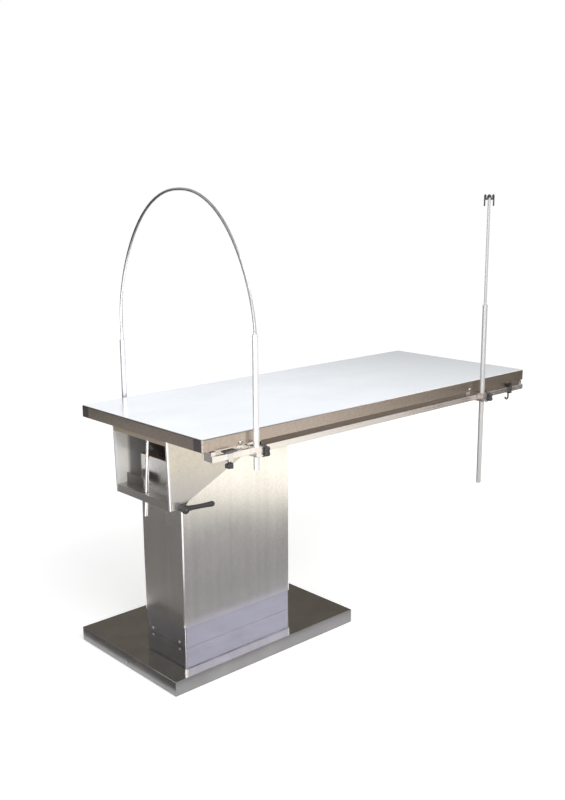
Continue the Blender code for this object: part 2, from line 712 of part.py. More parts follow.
def build_stay_rod():
    pin = Vector((STAY_X, 0.0, STAY_Z))
    down = Vector((-math.sin(STAY_ANGLE), 0.0, -math.cos(STAY_ANGLE)))
    bm = bmesh.new()
    half = STAY_EYE_WIDTH / 2
    pipe(bm, "Y", (STAY_X, STAY_Z), STAY_EYE_RADIUS, STAY_PIN_RADIUS + GAP, -half, half, FINE)
    rod = make_object("stay_rod", bm, POLISHED, origin=pin, smooth=True)
    start = (STAY_EYE_RADIUS + STAY_PIN_RADIUS + GAP) / 2
    stem = bmesh.new()
    sweep(stem, [pin + start * down, pin + STAY_LENGTH * down], STAY_RADIUS, COARSE, Vector((0, 1, 0)))
    combine(rod, "stay stem", stem, "UNION")


def build_cheeks(tilt):
    """The bracket's side plates, each with a hem rolled outwards along its front edge."""
    head, foot = HEAD_END_X + CHEEK_HEAD_SETBACK, HEAD_END_X + CHEEK_FOOT_SETBACK
    bottom = TABLE_HEIGHT - CHEEK_FOOT_DROP
    outline = [(head, CHEEK_TOP), (foot, bottom)]
    outline += arc((LEVER_X, LEVER_Z), LEVER_BOSS_RADIUS, *CHEEK_CORNER_ARC, COARSE)
    outline += [(head + CHEEK_TOP_LENGTH, CHEEK_TOP)]
    for name, side in SIDES:
        low, high = between(side * CHEEK_INNER_Y, side * CHEEK_OUTER_Y)
        bm = bmesh.new()
        prism(bm, outline, "Y", low, high)
        cheek = make_object("cheek_" + name, bm, STEEL, parent=tilt, smooth=True)
        hem = bmesh.new()
        ends = (Vector((head + HEM_RADIUS, side * CHEEK_OUTER_Y, CHEEK_TOP - HEM_INSET)),
                Vector((foot + HEM_RADIUS, side * CHEEK_OUTER_Y, bottom + HEM_INSET)))
        sweep(hem, ends, HEM_RADIUS, MEDIUM, Vector((0, 1, 0)))
        combine(cheek, "hem " + name, hem, "UNION")
        bore = bmesh.new()
        cylinder(bore, "Y", (PIVOT.x, PIVOT.z), SHAFT_RADIUS + GAP, low - GAP, high + GAP, FINE)
        combine(cheek, "shaft bore " + name, bore)
        if side < 0:
            hole = bmesh.new()
            cylinder(hole, "Y", (LEVER_X, LEVER_Z), STUD_RADIUS + GAP, low - GAP, high + GAP, MEDIUM)
            combine(cheek, "stud hole", hole)


def build_tray(tilt):
    """The cross tray: a floor with a lip turned down in front, notched clear of the quadrant."""
    radius, _ = lever_polar()
    drop = PIVOT.z - TRAY_TOP
    swept = radius + QUADRANT_MARGIN + TRAY_CLEARANCE
    notch_x = PIVOT.x - math.sqrt(swept ** 2 - drop ** 2)
    notch_y = -CHEEK_INNER_Y + 2 * GAP + QUADRANT_THICKNESS + STUD_NUT + TRAY_CLEARANCE
    back = TRAY_FRONT + TRAY_DEPTH
    end = CHEEK_INNER_Y - GAP
    floor = [(TRAY_FRONT, -end), (notch_x, -end), (notch_x, notch_y), (back, notch_y), (back, end),
             (TRAY_FRONT, end)]
    bm = bmesh.new()
    prism(bm, floor, "Z", TRAY_TOP - TRAY_SHEET, TRAY_TOP)
    tray = make_object("cross_tray", bm, STEEL, parent=tilt)
    lip = bmesh.new()
    fold = TRAY_TOP - TRAY_SHEET / 2
    box(lip, TRAY_FRONT, TRAY_FRONT + TRAY_SHEET, -end, end, TRAY_TOP - TRAY_LIP, fold)
    combine(tray, "tray lip", lip, "UNION")

    centre_x = STAY_X - (STAY_Z - TRAY_TOP) * math.tan(STAY_ANGLE)
    half_x = STAY_RADIUS + STAY_TRAVEL
    half_y = STAY_RADIUS + 2 * PLAY
    low, high = TRAY_TOP - 2 * TRAY_SHEET, TRAY_TOP + TRAY_SHEET
    slot = bmesh.new()
    box(slot, centre_x - half_x, centre_x + half_x, -half_y, half_y, low, high)
    combine(tray, "stay slot", slot)


def build_pivot_shaft(tilt):
    collar_start = CHEEK_OUTER_Y + GAP
    end = collar_start + SHAFT_COLLAR
    bm = bmesh.new()
    cylinder(bm, "Y", (PIVOT.x, PIVOT.z), SHAFT_RADIUS, -end, end, FINE)
    make_object("tilt_shaft", bm, POLISHED, origin=PIVOT, parent=tilt, smooth=True)
    for name, side in SIDES:
        low, high = between(side * collar_start, side * end)
        bore = SHAFT_RADIUS + GAP
        bm = bmesh.new()
        pipe(bm, "Y", (PIVOT.x, PIVOT.z), SHAFT_COLLAR_RADIUS, bore, low, high, FINE)
        make_object("shaft_collar_" + name, bm, STEEL, parent=tilt, smooth=True)


def build_lock(tilt):
    """The stud through the near cheek and the quadrant, and the lever that tightens it."""
    axis = (LEVER_X, LEVER_Z)
    inner = -CHEEK_INNER_Y + GAP + QUADRANT_THICKNESS + GAP
    outer = -CHEEK_OUTER_Y - GAP
    profile = ((STUD_NUT_RADIUS, inner + STUD_NUT), (STUD_NUT_RADIUS, inner), (STUD_RADIUS, inner),
               (STUD_RADIUS, outer))
    bm = bmesh.new()
    turned(bm, "Y", axis, profile, COARSE)
    make_object("lock_stud", bm, STEEL, parent=tilt, smooth=True)

    start = outer - GAP
    hub_end = start - LEVER_HUB_LENGTH
    profile = ((LEVER_HUB_END_RADIUS, start), (LEVER_HUB_RADIUS, start - LEVER_HUB_CHAMFER),
               (LEVER_HUB_RADIUS, hub_end + LEVER_HUB_CHAMFER), (LEVER_HUB_END_RADIUS, hub_end))
    bm = bmesh.new()
    turned(bm, "Y", axis, profile, MEDIUM)
    lever = make_object("clamp_lever", bm, BLACK, origin=(LEVER_X, start, LEVER_Z), smooth=True)

    turn = math.radians(LEVER_TURN)
    along = Vector((math.cos(turn), 0.0, math.sin(turn)))
    root = Vector((LEVER_X, start - LEVER_ARM_OFFSET, LEVER_Z))
    stations = ((0.0, LEVER_ROOT_RADIUS), (LEVER_LENGTH - LEVER_NECK_SETBACK, LEVER_ROOT_RADIUS),
                (LEVER_LENGTH - LEVER_SWELL_SETBACK, LEVER_TIP_RADIUS), (LEVER_LENGTH, LEVER_END_RADIUS))
    upward = Vector((-along.z, 0.0, along.x))
    flat = Vector((0.0, LEVER_FLATNESS, 0.0))
    turns = [2 * math.pi * k / COARSE for k in range(COARSE)]
    rings = []
    for reach, radius in stations:
        spot = root + reach * along - Vector((0.0, LEVER_RISE * reach / LEVER_LENGTH, 0.0))
        rings.append([spot + radius * (math.cos(t) * upward + math.sin(t) * flat) for t in turns])
    arm = bmesh.new()
    loft(arm, rings)
    combine(lever, "lever arm", arm, "UNION")


def top_outline(inset):
    """The top's outline, drawn in by an inset."""
    x0, x1, y = HEAD_END_X + inset, FOOT_END_X - inset, HALF_WIDTH - inset
    return rounded(x0, x1, -y, y, TOP_CORNER - inset)


def build_top(tilt):
    """The sheet top with its folded rim, and the frame and rails that hang from it."""
    inner_x0, inner_x1 = HEAD_END_X + TOP_SHEET, FOOT_END_X - TOP_SHEET
    inner_y = HALF_WIDTH - TOP_SHEET
    edge = arc((TOP_EDGE, -TOP_EDGE), TOP_EDGE, 90.0, 180.0, CORNER_STEPS)
    rings = [(top_outline(inset), TABLE_HEIGHT + z) for inset, z in edge]
    outside, inside = top_outline(0.0), top_outline(TOP_SHEET)
    rings += [(outside, RIM_BOTTOM), (inside, RIM_BOTTOM), (inside, TABLE_HEIGHT - TOP_SHEET)]
    bm = bmesh.new()
    loft(bm, [[place("Z", z, u, v) for u, v in line] for line, z in rings])
    top = make_object("table_top", bm, STEEL, parent=tilt, smooth=True)
    round_edges(top, EDGE_ROUND)
    build_frame(tilt, inner_x0 + GAP, inner_x1 - GAP, inner_y - 2 * GAP - HANGER_PLATE)
    build_rails(tilt, top)


def build_frame(tilt, x0, x1, edge_y):
    """Cross bars under the sheet, and the long beams and stiffeners that they rest on."""
    beam_half = BEAM_WIDTH / 2
    first, last = x0 + CROSS_WIDTH, x1 - CROSS_WIDTH
    for k in range(CROSS_COUNT):
        x = first + (last - first) * k / (CROSS_COUNT - 1)
        bm = bmesh.new()
        box(bm, x - CROSS_WIDTH / 2, x + CROSS_WIDTH / 2, -edge_y, edge_y, CROSS_BOTTOM, CROSS_TOP)
        make_object("cross_bar_" + str(k + 1), bm, DARK_STEEL, parent=tilt)
    for name, side in SIDES:
        v0, v1 = BEAM_BOTTOM, BEAM_TOP
        u0, u1 = side * BEAM_Y - beam_half, side * BEAM_Y + beam_half
        bore = rectangle(u0 + BEAM_WALL, u1 - BEAM_WALL, v0 + BEAM_WALL, v1 - BEAM_WALL)
        bm = bmesh.new()
        hollow_prism(bm, rectangle(u0, u1, v0, v1), bore, "X", x0, x1)
        make_object("long_beam_" + name, bm, DARK_STEEL, parent=tilt)

        face = side * (HALF_WIDTH - STIFFENER_INSET)
        web = face - side * STIFFENER_SHEET
        toe = face - side * STIFFENER_FLANGE
        section = [(face, v1), (face, v1 - STIFFENER_DEPTH), (web, v1 - STIFFENER_DEPTH),
                   (web, v1 - STIFFENER_SHEET), (toe, v1 - STIFFENER_SHEET), (toe, v1)]
        bm = bmesh.new()
        prism(bm, section, "X", HEAD_END_X + STIFFENER_HEAD_INSET, FOOT_END_X - STIFFENER_FOOT_INSET)
        make_object("stiffener_" + name, bm, DARK_STEEL, parent=tilt)


def build_rails(tilt, top):
    """Each rail is welded to its hangers and end blocks, and bolted through the rim."""
    x1 = FOOT_END_X - RAIL_FOOT_INSET
    inner_rim = HALF_WIDTH - TOP_SHEET - GAP
    weld = RAIL_BACK + RAIL_THICKNESS / 4
    plate_in = inner_rim - HANGER_PLATE
    neck = plate_in + HANGER_PLATE / 2
    arm_low, arm_high = RAIL_MIDDLE - HANGER_ARM / 2, RAIL_MIDDLE + HANGER_ARM / 2
    plate_top = CROSS_TOP - HANGER_PLATE
    hanger = [(weld, arm_low), (weld, arm_high), (neck, arm_high), (neck, RIM_BOTTOM),
              (inner_rim, RIM_BOTTOM), (inner_rim, plate_top), (plate_in, plate_top), (plate_in, arm_low)]
    spots = (HEAD_END_X + HANGER_INSETS[0], FOOT_END_X - HANGER_INSETS[1])
    bolt_z = TABLE_HEIGHT - RIM_BOLT_DROP
    head = (RIM_BOLT_SHANK, RIM_BOLT_RADIUS, RIM_BOLT_HEAD)
    holes = bmesh.new()
    for (name, side), inset in zip(SIDES, (RAIL_HEAD_INSET, FAR_RAIL_HEAD_INSET)):
        x0 = HEAD_END_X + inset
        y0, y1 = between(side * RAIL_BACK, side * RAIL_FRONT)
        bm = bmesh.new()
        box(bm, x0, x1, y0, y1, RAIL_BOTTOM, RAIL_TOP)
        rail = make_object("rail_" + name, bm, STEEL, parent=tilt)
        round_edges(rail, EDGE_ROUND)

        line = [(side * y, z) for y, z in hanger]
        welds, bolts = bmesh.new(), bmesh.new()
        for x in spots:
            prism(welds, line, "X", x - HANGER_WIDTH / 2, x + HANGER_WIDTH / 2)
            root = side * (plate_in + HANGER_PLATE / 4)
            add_screw(bolts, holes, "Y", (x, bolt_z), root, side * HALF_WIDTH, *head)
        y0, y1 = between(side * weld, side * (weld - END_BLOCK_DEPTH))
        ends = (x0 + END_BLOCK_INSET, x1 - END_BLOCK_INSET - END_BLOCK_LENGTH)
        for end in ends:
            low = RAIL_BOTTOM + END_BLOCK_INSET
            box(welds, end, end + END_BLOCK_LENGTH, y0, y1, low, RIM_BOTTOM - GAP)
        combine(rail, "hangers " + name, welds, "UNION")
        combine(rail, "rim bolts " + name, bolts, "UNION")
    combine(top, "rim bolt holes", holes)


def clamp_body(name, x, side, width, outer):
    """A block that hooks over the rail, open behind between its two lips."""
    inner = RAIL_BACK - CLAMP_BACK
    low, high = RAIL_BOTTOM - CLAMP_UNDER, RAIL_TOP + CLAMP_JAW
    channel = ((RAIL_BACK - GAP, RAIL_BOTTOM - GAP), (RAIL_FRONT + GAP, RAIL_TOP + GAP))
    lips = (RAIL_BOTTOM + CLAMP_LIP, RAIL_TOP - CLAMP_LIP)
    section = [(inner, low), (outer, low), (outer, high), (inner, high), (inner, lips[1]),
               (channel[0][0], lips[1]), (channel[0][0], channel[1][1]), (channel[1][0], channel[1][1]),
               (channel[1][0], channel[0][1]), (channel[0][0], channel[0][1]), (channel[0][0], lips[0]),
               (inner, lips[0])]
    bm = bmesh.new()
    prism(bm, [(side * y, z) for y, z in section], "X", x - width / 2, x + width / 2)
    return make_object(name, bm, STEEL, origin=(x, side * TUBE_Y, RAIL_MIDDLE))


def tube_clamp(name, x, side):
    clamp = clamp_body(name, x, side, CLAMP_WIDTH, CLAMP_OUTER)
    bore = bmesh.new()
    low, high = RAIL_BOTTOM - 2 * CLAMP_UNDER, RAIL_TOP + 2 * CLAMP_JAW
    cylinder(bore, "Z", (x, side * TUBE_Y), TUBE_RADIUS + GAP, low, high, MEDIUM)
    combine(clamp, name + " bore", bore)


def star_knob(name, axis, centre, start, direction, radius, thickness, stem_length):
    """A lobed grip on a short stem, pointing along the axis from start."""
    sides = KNOB_LOBE_FACETS * KNOB_LOBES
    turns = [2 * math.pi * k / sides for k in range(sides)]

    def star(along, inset):
        rims = [radius - inset - KNOB_LOBE * (1 - math.cos(KNOB_LOBES * t)) for t in turns]
        return [place(axis, along, centre[0] + r * math.cos(t), centre[1] + r * math.sin(t))
                for r, t in zip(rims, turns)]

    stem = start + direction * stem_length
    end = stem + direction * thickness
    step = direction * KNOB_EDGE
    rings = [circle(axis, along, centre, KNOB_STEM_RADIUS, sides) for along in (start, stem)]
    rings += [star(stem, KNOB_FACE_INSET), star(stem + step, 0.0), star(end - step, 0.0),
              star(end, KNOB_FACE_INSET)]
    bm = bmesh.new()
    loft(bm, rings)
    make_object(name, bm, BLACK, origin=place(axis, start, *centre), smooth=True)


def clamp_knob(name, x, side):
    """The star knob on a tube clamp's side, which draws the clamp tight on the rail."""
    start = x + CLAMP_WIDTH / 2 + GAP
    star_knob(name, "X", (side * KNOB_Y, RAIL_MIDDLE), start, 1.0, KNOB_RADIUS, KNOB_THICKNESS, KNOB_STEM)


def tube_with_bush(pattern, x, side, below, above, rod_radius):
    """A tube held by a clamp, and the bush in its top that guides the rod."""
    low, high = TABLE_HEIGHT - below, TABLE_HEIGHT + above
    centre = (x, side * TUBE_Y)
    bm = bmesh.new()
    pipe(bm, "Z", centre, TUBE_RADIUS, TUBE_RADIUS - TUBE_WALL, low, high, MEDIUM)
    make_object(pattern % "tube", bm, STEEL, smooth=True)
    outer, bore = TUBE_RADIUS - TUBE_WALL - GAP, rod_radius + GAP
    bm = bmesh.new()
    pipe(bm, "Z", centre, outer, bore, high - BUSH_LENGTH, high, MEDIUM)
    make_object(pattern % "bush", bm, NYLON, smooth=True)


def build_bow():
    """The bow, its two tubes and the clamps that hold them on the rails."""
    for name, side in SIDES:
        tube_clamp("bow_clamp_" + name, BOW_X, side)
        drop = FAR_TUBE_DROP if side > 0 else 0.0
        below, above = BOW_TUBE_BELOW + drop, BOW_TUBE_ABOVE - drop
        tube_with_bush("bow_%s_" + name, BOW_X, side, below, above, BOW_RADIUS)
        clamp_knob("bow_knob_" + name, BOW_X, side)
    spring = TABLE_HEIGHT + BOW_TUBE_ABOVE
    rise = BOW_HEIGHT - BOW_TUBE_ABOVE - BOW_RADIUS
    count = 2 * FINE
    path = [Vector((BOW_X, -TUBE_Y, spring - BOW_TAIL))]
    for k in range(count + 1):
        turn = math.pi * k / count
        across = math.copysign(abs(math.cos(turn)) ** BOW_SIDE_POWER, math.cos(turn))
        height = max(0.0, math.sin(turn)) ** BOW_RISE_POWER
        path.append(Vector((BOW_X, -TUBE_Y * across, spring + rise * height)))
    path.append(Vector((BOW_X, TUBE_Y, path[0].z - FAR_TUBE_DROP)))
    bm = bmesh.new()
    sweep(bm, path, BOW_RADIUS, COARSE, Vector((1, 0, 0)))
    make_object("bow", bm, POLISHED, origin=(BOW_X, 0.0, spring), smooth=True)


def build_pole():
    """The infusion pole: a clamp, a tube, a rod that slides in it and a hook that swivels."""
    side = -1.0
    tube_clamp("pole_clamp", POLE_X, side)
    tube_with_bush("pole_%s", POLE_X, side, POLE_TUBE_BELOW, POLE_TUBE_ABOVE, POLE_RADIUS)
    clamp_knob("pole_knob", POLE_X, side)
    centre = (POLE_X, side * TUBE_Y)
    low, high = TABLE_HEIGHT + POLE_TUBE_ABOVE - POLE_TAIL, TABLE_HEIGHT + POLE_TOP
    bm = bmesh.new()
    cylinder(bm, "Z", centre, POLE_RADIUS, low, high, COARSE)
    make_object("pole_rod", bm, POLISHED, origin=(*centre, high), smooth=True)

    hub_low = high + GAP
    hub_high = hub_low + HOOK_HUB_HEIGHT
    bm = bmesh.new()
    cylinder(bm, "Z", centre, HOOK_HUB_RADIUS, hub_low, hub_high, COARSE)
    hook = make_object("pole_hook", bm, BLACK, origin=(*centre, hub_low), smooth=True)
    wire = bmesh.new()
    sweep(wire, hook_path(centre, hub_high + HOOK_CREST_RISE), HOOK_RADIUS, THIN, Vector((0, 1, 0)))
    combine(hook, "hook wire of the pole", wire, "UNION")


def hook_path(centre, crest):
    """The pole hook's wire: from one hanging end over three crests and two cups to the other."""
    crest_z = crest - HOOK_CREST_RADIUS
    cup_u = HOOK_CREST_RADIUS + HOOK_CUP_RADIUS
    bend_u = cup_u + HOOK_CUP_RADIUS + HOOK_BEND_RADIUS
    half = arc((0.0, crest_z), HOOK_CREST_RADIUS, 90.0, 0.0, THIN)
    half += arc((cup_u, crest_z), HOOK_CUP_RADIUS, 180.0, 360.0, THIN)[1:]
    half += arc((bend_u, crest - HOOK_BEND_RADIUS), HOOK_BEND_RADIUS, 180.0, 0.0, THIN)
    half += [(bend_u + HOOK_BEND_RADIUS, crest - HOOK_LEG)]
    line = [(-u, v) for u, v in reversed(half[1:])] + half
    return [Vector((centre[0] + u, centre[1], v)) for u, v in line]


def build_rail_fittings():
    side = -1.0
    outer = RAIL_FRONT + CLAMP_FRONT
    cleat = clamp_body("cleat", CLEAT_X, side, CLEAT_WIDTH, outer)
    jaw_top = RAIL_TOP + CLAMP_JAW
    half = CLEAT_PLATE_LENGTH / 2
    plate = bmesh.new()
    y0, y1 = between(side * (RAIL_BACK - CLAMP_BACK), side * (outer + CLAMP_FRONT / 2))
    low = jaw_top - CLEAT_PLATE / 2
    box(plate, CLEAT_X - half, CLEAT_X + half, y0 + GAP, y1 - GAP, low, low + CLEAT_PLATE)
    combine(cleat, "cleat plate", plate, "UNION")
    spot = (CLEAT_X, side * (RAIL_BACK + outer) / 2)
    under = RAIL_BOTTOM - CLAMP_UNDER - GAP
    star_knob("cleat_knob", "Z", spot, under, -1.0, CLEAT_KNOB_RADIUS, CLEAT_KNOB_THICKNESS, CLEAT_KNOB_STEM)

    clip = clamp_body("rail_hook", RAIL_HOOK_X, side, RAIL_HOOK_WIDTH, outer)
    hang_y = side * (RAIL_FRONT + RAIL_BACK) / 2
    start = RAIL_BOTTOM - CLAMP_UNDER / 2
    path = [Vector((RAIL_HOOK_X, hang_y, start)), Vector((RAIL_HOOK_X, hang_y, start - RAIL_HOOK_DROP))]
    for k in range(1, COARSE + 1):
        turn = math.pi * k / COARSE
        reach = RAIL_HOOK_BEND * (1 - math.cos(turn))
        path.append(Vector((RAIL_HOOK_X - reach, hang_y, path[1].z - RAIL_HOOK_BEND * math.sin(turn))))
    wire = bmesh.new()
    sweep(wire, path, RAIL_HOOK_RADIUS, THIN, Vector((0, 1, 0)))
    combine(clip, "hook wire", wire, "UNION")


clear_scene()
STEEL = make_material("satin steel", (0.62, 0.60, 0.57), 0.32, 1.0)
POLISHED = make_material("polished steel", (0.70, 0.69, 0.67), 0.12, 1.0)
DARK_STEEL = make_material("dark steel", (0.09, 0.085, 0.08), 0.5, 0.6)
CAST = make_material("cast aluminium", (0.45, 0.45, 0.46), 0.5, 1.0)
BLACK = make_material("black plastic", (0.015, 0.015, 0.016), 0.4, 0.0)
NYLON = make_material("white nylon", (0.8, 0.79, 0.75), 0.5, 0.0)

lift_axis = make_empty("lift axis", Vector((0.0, 0.0, COLUMN_TOP)))
tilt_axis = make_empty("tilt axis", PIVOT)
build_base()
build_fixed_column()
build_actuator(lift_axis)
build_lift(lift_axis)
build_stay_rod()
build_cheeks(tilt_axis)
build_tray(tilt_axis)
build_pivot_shaft(tilt_axis)
build_lock(tilt_axis)
build_top(tilt_axis)
build_bow()
build_pole()
build_rail_fittings()
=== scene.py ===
"""Looks of the electric operating table: its steel finishes, small trim, studio and camera.

Metres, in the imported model's own frame: +Z up, +X along the top, -Y the near side.
"""
import json
import math

import bmesh
import bpy
from mathutils import Matrix, Vector


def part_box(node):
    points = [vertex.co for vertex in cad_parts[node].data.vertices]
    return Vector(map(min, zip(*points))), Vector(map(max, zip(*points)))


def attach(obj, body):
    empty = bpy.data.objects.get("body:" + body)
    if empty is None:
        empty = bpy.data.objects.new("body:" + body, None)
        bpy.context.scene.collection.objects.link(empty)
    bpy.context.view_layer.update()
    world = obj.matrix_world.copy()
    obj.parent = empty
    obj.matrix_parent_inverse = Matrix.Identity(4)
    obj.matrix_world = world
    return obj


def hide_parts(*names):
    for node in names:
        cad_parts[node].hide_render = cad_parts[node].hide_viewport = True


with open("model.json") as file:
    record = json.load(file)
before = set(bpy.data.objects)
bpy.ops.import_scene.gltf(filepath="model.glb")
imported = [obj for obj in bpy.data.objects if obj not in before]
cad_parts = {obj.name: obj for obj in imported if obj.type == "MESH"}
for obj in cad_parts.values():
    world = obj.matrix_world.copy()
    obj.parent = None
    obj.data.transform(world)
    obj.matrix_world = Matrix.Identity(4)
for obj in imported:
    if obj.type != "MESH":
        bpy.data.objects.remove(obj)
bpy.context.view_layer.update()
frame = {"nodes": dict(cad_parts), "record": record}
NODES = frame["nodes"]

# Camera: place in metres, angles in degrees, lens in millimetres on a 36 mm sensor
CAMERA_PLACE = Vector((-1.7079, -2.1546, 1.3103))
CAMERA_AZIMUTH = -42.467
CAMERA_ELEVATION = 12.218
CAMERA_ROLL = -0.339
CAMERA_LENS = 43.76
SENSOR = 36.0

# Sockets of a Mix node that mixes colours, which share their names with its other sockets
MIX_FIRST = 6
MIX_SECOND = 7
MIX_RESULT = 2


class Finish:
    """A Principled material, with short calls that add nodes to it and join them."""

    def __init__(self, name, colour, roughness, metallic=1.0):
        self.material = bpy.data.materials.new(name)
        self.material.use_nodes = True
        self.tree = self.material.node_tree
        self.shader = self.tree.nodes["Principled BSDF"]
        self.set(self.shader, "Base Color", (*colour, 1.0))
        self.set(self.shader, "Roughness", roughness)
        self.set(self.shader, "Metallic", metallic)
        self.coordinates = self.add("ShaderNodeTexCoord")

    def set(self, node, socket, value):
        """Join a socket to another node's output, or give it a plain value."""
        if isinstance(value, bpy.types.NodeSocket):
            self.tree.links.new(value, node.inputs[socket])
        else:
            node.inputs[socket].default_value = value

    def add(self, kind, settings=None, **sockets):
        node = self.tree.nodes.new(kind)
        for name, value in (settings or {}).items():
            setattr(node, name, value)
        for name, value in sockets.items():
            self.set(node, name.replace("_", " "), value)
        return node

    def scaled(self, scale):
        """Object coordinates times a scale on each axis."""
        place = self.coordinates.outputs["Object"]
        return self.add("ShaderNodeMapping", Vector=place, Scale=scale).outputs["Vector"]

    def noise(self, scale, detail=3.0, stretch=(1.0, 1.0, 1.0), roughness=0.5):
        node = self.add("ShaderNodeTexNoise", Vector=self.scaled(stretch), Scale=scale, Detail=detail,
                        Roughness=roughness)
        return node.outputs["Fac"]

    def spread(self, value, low, high, start=0.3, end=0.7):
        """The value's stretch from start to end, mapped to low and high."""
        node = self.add("ShaderNodeMapRange", Value=value)
        self.set(node, "From Min", start)
        self.set(node, "From Max", end)
        self.set(node, "To Min", low)
        self.set(node, "To Max", high)
        return node.outputs["Result"]

    def mask(self, value, start=0.3, end=0.7):
        """Zero where the value is at start, one where it is at end, and clamped past both."""
        return self.spread(value, 0.0, 1.0, start, end)

    def maths(self, operation, first, second=0.0):
        node = self.add("ShaderNodeMath", {"operation": operation})
        self.set(node, 0, first)
        self.set(node, 1, second)
        return node.outputs["Value"]

    def mix(self, factor, first, second):
        """Two colours, mixed by a factor."""
        node = self.add("ShaderNodeMix", {"data_type": "RGBA"})
        self.set(node, "Factor", factor)
        for socket, colour in ((MIX_FIRST, first), (MIX_SECOND, second)):
            linked = isinstance(colour, bpy.types.NodeSocket)
            self.set(node, socket, colour if linked else (*colour, 1.0))
        return node.outputs[MIX_RESULT]

    def bump(self, height, strength, distance):
        node = self.add("ShaderNodeBump", Height=height, Strength=strength, Distance=distance)
        self.set(self.shader, "Normal", node.outputs["Normal"])

    def part(self, coordinates, axis):
        split = self.add("ShaderNodeSeparateXYZ", Vector=self.coordinates.outputs[coordinates])
        return split.outputs[axis]

    def normal_part(self, axis):
        """One part of the face's own direction, in object space, from -1 to 1."""
        return self.part("Normal", axis)

    def place_part(self, axis):
        """One part of the point's place, in metres."""
        return self.part("Object", axis)


# Stretch of the grinding marks: long along the brushing, fine across it
BRUSHED_X = (6.0, 700.0, 700.0)
BRUSHED_Y = (700.0, 6.0, 700.0)
BRUSHED_Z = (700.0, 700.0, 6.0)
# The broad bands' stretch, as a share of the marks'
BAND_SHARE = 0.06
# The cheeks' front edge leans back as it goes down: its X plus this share of Z is nearly constant
HEM_LEAN = 0.028
HEM_BACK = -0.2420
CHEEK_COLOUR = (0.745, 0.705, 0.625)
# Heights between which the near cheek turns from cool to warm: the cool, darker part below is painted shade
CHEEK_COOL = 0.50
CHEEK_WARM = 0.60
# The near cheek's painted highlight at its lower front corner ends on a line: Z plus this share of X is
# constant
CORNER_SLOPE = 0.321
CORNER_EDGE = 0.411
# X of the far cheek's stretch where the column begins to shade it
SHADE_START = -0.226
SHADE_END = -0.214
# X of the top's foot end, of the places where the painted shade on its face and its rim begins to darken them
# towards it, and of the place where the painted shade along its upper edge is at its faintest
FOOT_END = 1.13
FACE_FADE = 0.35
RIM_FADE = 0.13
EDGE_FADE_END = 0.5
# Distance from the middle at which the head rim's dark corners begin and are full
CORNER_START = 0.246
CORNER_FULL = 0.252
# X of the stretch over which painted shade darkens the rails towards the foot
RAIL_FADE_START = 0.10
RAIL_FADE_END = 0.95
# Lowest point of the bolts through the rim
BOLT_FOOT = 0.6625
# Height of the seam between the cleat's body and its cap
CLEAT_SEAM = 0.6532
# Heights of the bow between which its rod turns from bright to dark: a painted reflection
BOW_BRIGHT = 0.93
BOW_DARK = 1.18
# Grains to a metre in blasted steel
GRAIN = 240.0


def toned(colour, share):
    """A colour times a share, no part of it past one."""
    return tuple(min(1.0, share * part) for part in colour)


def shade_grain(finish, grain, colour, tone):
    """Colour a finish by its grain, from a little darker to a little lighter."""
    shade = finish.mask(grain)
    dark = toned(colour, 1 - tone)
    light = toned(colour, 1 + tone)
    finish.set(finish.shader, "Base Color", finish.mix(shade, dark, light))


def blended(finish, first, second, share):
    """A sum of two textures, with the first one's share."""
    first_part = finish.maths("MULTIPLY", first, share)
    second_part = finish.maths("MULTIPLY", second, 1 - share)
    return finish.maths("ADD", first_part, second_part)


def repaint(finish, mask, colour):
    """Lay a colour over a finish's own where the mask is one."""
    under = finish.shader.inputs["Base Color"].links[0].from_socket
    finish.set(finish.shader, "Base Color", finish.mix(mask, under, colour))


def band_stretch(stretch):
    """The stretch of the broad bands along the brushing."""
    return tuple(BAND_SHARE * part for part in stretch)


def brushed(name, colour, roughness, stretch, tone=0.05, sheen=0.05):
    """Satin steel: fine marks and broad bands along the brushing, and cloudy wear in its sheen."""
    finish = Finish(name, colour, roughness)
    marks = finish.noise(1.0, detail=2.0, stretch=stretch)
    bands = finish.noise(1.0, detail=2.0, stretch=band_stretch(stretch))
    clouds = finish.noise(9.0, detail=4.0)
    grain = blended(finish, marks, bands, 0.6)
    wear_and_highlight = finish.spread(clouds, -sheen, sheen)
    rough = finish.maths("ADD", finish.spread(grain, roughness - sheen, roughness + sheen), wear_and_highlight)
    finish.set(finish.shader, "Roughness", rough)
    shade_grain(finish, grain, colour, tone)
    finish.bump(marks, strength=0.05, distance=0.0005)
    return finish


def grained(name, colour, roughness, stretch, tone=0.07, metallic=1.0):
    """Blasted steel: a fine sandy grain, faint brushing and cloudy wear."""
    finish = Finish(name, colour, roughness, metallic)
    sand = finish.noise(GRAIN, detail=3.0, roughness=0.7)
    marks = finish.noise(1.0, detail=2.0, stretch=band_stretch(stretch))
    clouds = finish.noise(7.0, detail=4.0)
    shade_grain(finish, blended(finish, sand, marks, 0.7), colour, tone)
    finish.set(finish.shader, "Roughness", finish.spread(clouds, roughness - 0.03, roughness + 0.03))
    finish.bump(sand, strength=0.04, distance=0.0006)
    return finish


def plastic(name, colour, roughness):
    """Moulded plastic with a fine grain."""
    finish = Finish(name, colour, roughness, metallic=0.0)
    grain = finish.noise(900.0, detail=2.0)
    finish.set(finish.shader, "Roughness", finish.spread(grain, roughness - 0.08, roughness + 0.08))
    finish.bump(grain, strength=0.15, distance=0.0003)
    return finish


